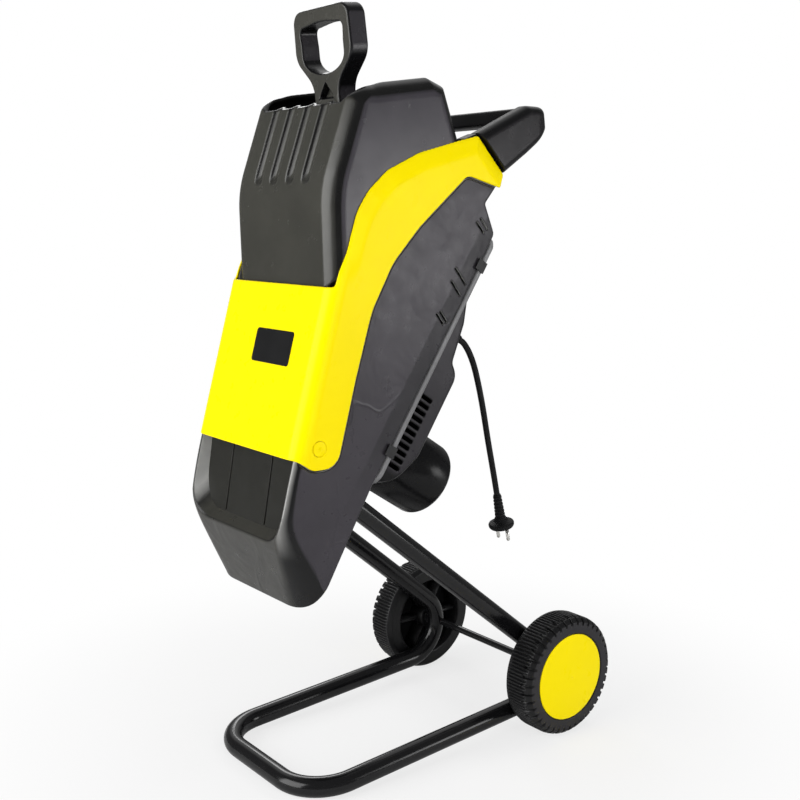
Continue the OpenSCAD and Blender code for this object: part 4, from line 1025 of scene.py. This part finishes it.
# plastics: name, colour, range of roughness, unevenness of tone, strength of grain
looks = {
    "frame_black": plastic("powder_black", BLACK, (0.12, 0.2), 0.2, 0.05, grain_scale=900, specular=0.34,
        wear=1.6),
    # the tyre's outward sidewall has a painted reflection
    "wheel_black": plastic("tyre_black", SOFT_BLACK, (0.3, 0.44), 0.2, 0.12, grain_scale=1100, specular=0.28,
        wear=1.6, side_reflection_colour=(0.018, 0.017, 0.02)),
    "yellow": plastic("yellow_plastic", (0.95, 0.765, 0.0), (0.26, 0.34), 0.02, 0.04, specular=0.08,
        wear=1.02),
    # housing: painted reflections on sides and front, painted light on cheeks, painted highlight on rim,
    # painted sheen on sill, painted shade along the ridge and in crease lines
    "housing_grey": plastic("housing_plastic", BLACK, (0.26, 0.36), 0.12, 0.1, specular=0.28, wear=1.4,
        scuffs=0.1, dents_and_crease_shade=0.22, side_reflection_colour=(0.037, 0.0335, 0.0405), front_reflection_colour=(0.03, 0.0295, 0.026),
        front=(0.84, 0.96), cheek_highlight_colour=(0.32, 0.32, 0.31), rim_highlight_colour=(0.3, 0.3, 0.29),
        ridge_shade_colour=(0.023, 0.0215, 0.025), sill_sheen_colour=(0.028, 0.0275, 0.0225)),
    # cover: painted reflection on its side faces, painted shade in crease lines, a lighter band on the flange
    "cover_grey": plastic("cover_plastic", BLACK, (0.26, 0.36), 0.12, 0.1, specular=0.2, wear=1.4, scuffs=0.1,
        dents_and_crease_shade=0.05, side_reflection_colour=(0.024, 0.022, 0.026), flange_colour=(0.17, 0.17, 0.175)),
    # hopper: painted reflections on its side and front faces
    "hopper_grey": plastic("hopper_plastic", (0.005, 0.005, 0.005), (0.2, 0.28), 0.12, 0.08, specular=0.38,
        wear=1.4, side_reflection_colour=(0.043, 0.0395, 0.047), front_reflection_colour=(0.036, 0.0355, 0.0295),
        front=(0.7, 0.9)),
    "black_plastic": plastic("black_plastic", BLACK, (0.24, 0.36), 0.2, 0.08, specular=0.24, wear=1.6),
    # push handle: painted reflections on its side and front faces
    "handle_black": plastic("handle_black", BLACK, (0.22, 0.3), 0.15, 0.08, wear=1.6,
        side_reflection_colour=(0.03, 0.028, 0.032), side="side", front_reflection_colour=(0.045, 0.044, 0.038)),
    # carry grip: painted reflection on its side faces
    "grip_black": plastic("grip_black", BLACK, (0.26, 0.36), 0.2, 0.08, specular=0.24, wear=1.6,
        side_reflection_colour=(0.013, 0.012, 0.0135)),
    "panel_black": plastic("panel_black", (0.015, 0.015, 0.0125), (0.3, 0.4), 0.1, 0.06, specular=0.2,
        wear=1.4),
    "label_black": plastic("label_black", SOFT_BLACK, (0.34, 0.44), 0.15, 0.04, grain_scale=2500,
        specular=0.15, wear=1.5),
    "clip_grey": plastic("clip_grey", (0.014, 0.014, 0.0145), (0.4, 0.5), 0.1, 0.1),
    "can_black": plastic("can_black", BLACK, (0.2, 0.3), 0.15, 0.06, grain_scale=900, specular=0.2, wear=1.5),
    "black_rubber": plastic("black_rubber", SOFT_BLACK, (0.45, 0.6), 0.2, 0.2, grain_scale=1300, specular=0.2,
        wear=1.5),
    "carbon": plastic("carbon", (0.02, 0.02, 0.02), (0.5, 0.6), 0.3, 0.3),
    "fan_white": plastic("fan_nylon", (0.72, 0.72, 0.68), (0.4, 0.5), 0.04, 0.1),
    "green": plastic("green_plastic", (0.02, 0.28, 0.06), (0.3, 0.42), 0.08, 0.1),
    "red": plastic("red_plastic", (0.5, 0.02, 0.015), (0.3, 0.42), 0.08, 0.1),
    "steel": metal("steel", (0.42, 0.42, 0.43)),
    "bright_steel": metal("bright_steel", (0.6, 0.6, 0.61), (0.15, 0.3)),
    "pin_chrome": metal("pin_nickel", (0.68, 0.67, 0.64), (0.14, 0.26)),
    "alloy": metal("cast_alloy", (0.5, 0.5, 0.51), (0.45, 0.6), 0.3, (1, 1, 1), 0.12, 160),
    "iron": metal("core_iron", (0.25, 0.25, 0.26), (0.4, 0.55), 0.3, (1, 1, 9), 0.2, 200),
    "brass": metal("brass", (0.62, 0.44, 0.16), (0.25, 0.4)),
    "copper": copper_wire("copper_wire"),
}

slot_of = {row["node"]: row["material_slot"] for row in frame["record"]["subparts"]}

for name, obj in nodes.items():
    if name in slot_of:
        if not obj.material_slots:
            obj.data.materials.append(None)
        for place in obj.material_slots:
            place.material = looks[slot_of[name]]


def stands_for(obj, node, body, slot, look=None):
    """A piece that rides a body in place of a node, or beside one where node is None."""
    obj.data.materials.clear()
    obj.data.materials.append(looks[look or slot])
    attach(obj, body)
    if node:
        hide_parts(node)
    return obj


stands_for(flex, "cord", "machine", "black_rubber")
plug_body = stands_for(plug(), "plug", "machine", "black_rubber")
prongs = stands_for(plug_pins(), "plug_pins", "machine", "pin_chrome")

stands_for(front_housing(), "front_housing", "machine", "housing_grey")
stands_for(saddle(), "saddle_cover", "machine", "yellow")
stands_for(hopper(), "hopper", "machine", "hopper_grey")
stands_for(plunger(), "plunger", "pusher", "black_plastic", "handle_black")
stands_for(carry_grip(), "transport_grip", "machine", "black_plastic", "grip_black")
stands_for(rear_cover(), "rear_cover", "machine", "housing_grey", "cover_grey")
stands_for(frame_tube(), "frame_tube", "machine", "frame_black")
for side, word in ((1, "right"), (-1, "left")):
    stands_for(wheel(side), "wheel_" + word, word + "_wheel", "wheel_black")
    stands_for(hub_cap(side), "hub_cap_" + word, word + "_wheel", "yellow")
stands_for(motor_can(), "motor_can", "machine", "can_black")
stands_for(screw_caps(), "screw_caps", "machine", "yellow")
stands_for(gland(), "cord_gland", "machine", "black_rubber")
stands_for(label(), "label_plate", "machine", "label_black")
for panel in nose_panels():
    stands_for(panel, None, "machine", "black_plastic", "panel_black")

# Floor and light


BACKDROP = (-0.5, 0.4, 0.766)  # towards the middle of the lit backdrop
AMBIENT = 0.2
UNMIRRORED = ("fill", "back")  # lamps that don't show in reflections


def studio():
    data = bpy.data.meshes.new("floor")
    data.from_pydata([(-6, -6, 0), (6, -6, 0), (6, 6, 0), (-6, 6, 0)], [], [(0, 1, 2, 3)])
    floor = link(bpy.data.objects.new("floor", data))
    # pale paper that keeps the shadow near the machine and runs out to plain white for the camera
    m, tree, shader = new_material("floor_white")
    shader.inputs["Base Color"].default_value = (0.8, 0.8, 0.8, 1)
    shader.inputs["Roughness"].default_value = 0.8
    shader.inputs["Specular IOR Level"].default_value = 0.1
    white = tree.nodes.new("ShaderNodeEmission")
    mix = tree.nodes.new("ShaderNodeMixShader")
    away = tree.nodes.new("ShaderNodeVectorMath")
    away.operation = "LENGTH"
    tree.links.new(coords(tree), away.inputs[0])
    fade = remap(tree, away.outputs["Value"], 0.2, 0.75, 0.74, 1.0, "SMOOTHSTEP")
    seen = times(tree, fade, tree.nodes.new("ShaderNodeLightPath").outputs["Is Camera Ray"])
    tree.links.new(seen, mix.inputs["Fac"])
    tree.links.new(shader.outputs["BSDF"], mix.inputs[1])
    tree.links.new(white.outputs["Emission"], mix.inputs[2])
    tree.links.new(mix.outputs["Shader"], tree.nodes["Material Output"].inputs["Surface"])
    data.materials.append(m)

    world = bpy.data.worlds.new("studio")
    bpy.context.scene.world = world
    world.use_nodes = True
    tree = world.node_tree
    back = tree.nodes["Background"]
    back.inputs["Color"].default_value = (1, 1, 1, 1)
    # white for the camera, and for mirrored and transmitted rays in the upper part of the backdrop
    ray = tree.nodes.new("ShaderNodeLightPath").outputs
    backdrop = ramp(tree, reach(tree, coords(tree, "Generated"), BACKDROP), (0.78, 0.0), (0.92, 1.0))
    mirrored = maths(tree, "MAXIMUM", ray["Is Glossy Ray"], ray["Is Transmission Ray"])
    seen = maths(tree, "MAXIMUM", ray["Is Camera Ray"], times(tree, mirrored, backdrop))
    tree.links.new(remap(tree, seen, 0, 1, AMBIENT, 1), back.inputs["Strength"])

    for name, place, aim, size, power in (
            ("key", (-0.35, -2.3, 1.15), (0, 0, 0.5), (2.0, 2.0), 62),
            ("fill", (2.6, -0.3, 1.1), (0, 0, 0.45), (1.6, 1.6), 36),
            ("side", (2.0, 1.6, 0.55), (0, 0, 0.55), (0.9, 0.7), 10),
            ("back", (0.1, 1.4, 2.0), (0, 0, 0.3), (1.0, 0.6), 7),
            ("left", (-1.7, 0.8, 1.45), (0, 0, 0.3), (0.6, 0.6), 6)):
        lamp = bpy.data.lights.new(name, "AREA")
        lamp.shape = "RECTANGLE"
        lamp.size, lamp.size_y = size
        lamp.energy = power
        obj = link(bpy.data.objects.new(name, lamp))
        obj.visible_glossy = name not in UNMIRRORED
        obj.location = place
        d = np.subtract(aim, place)
        flat = math.hypot(d[0], d[1])
        obj.rotation_euler = (math.atan2(flat, -d[2]), 0, math.atan2(-d[0], d[1]))


studio()
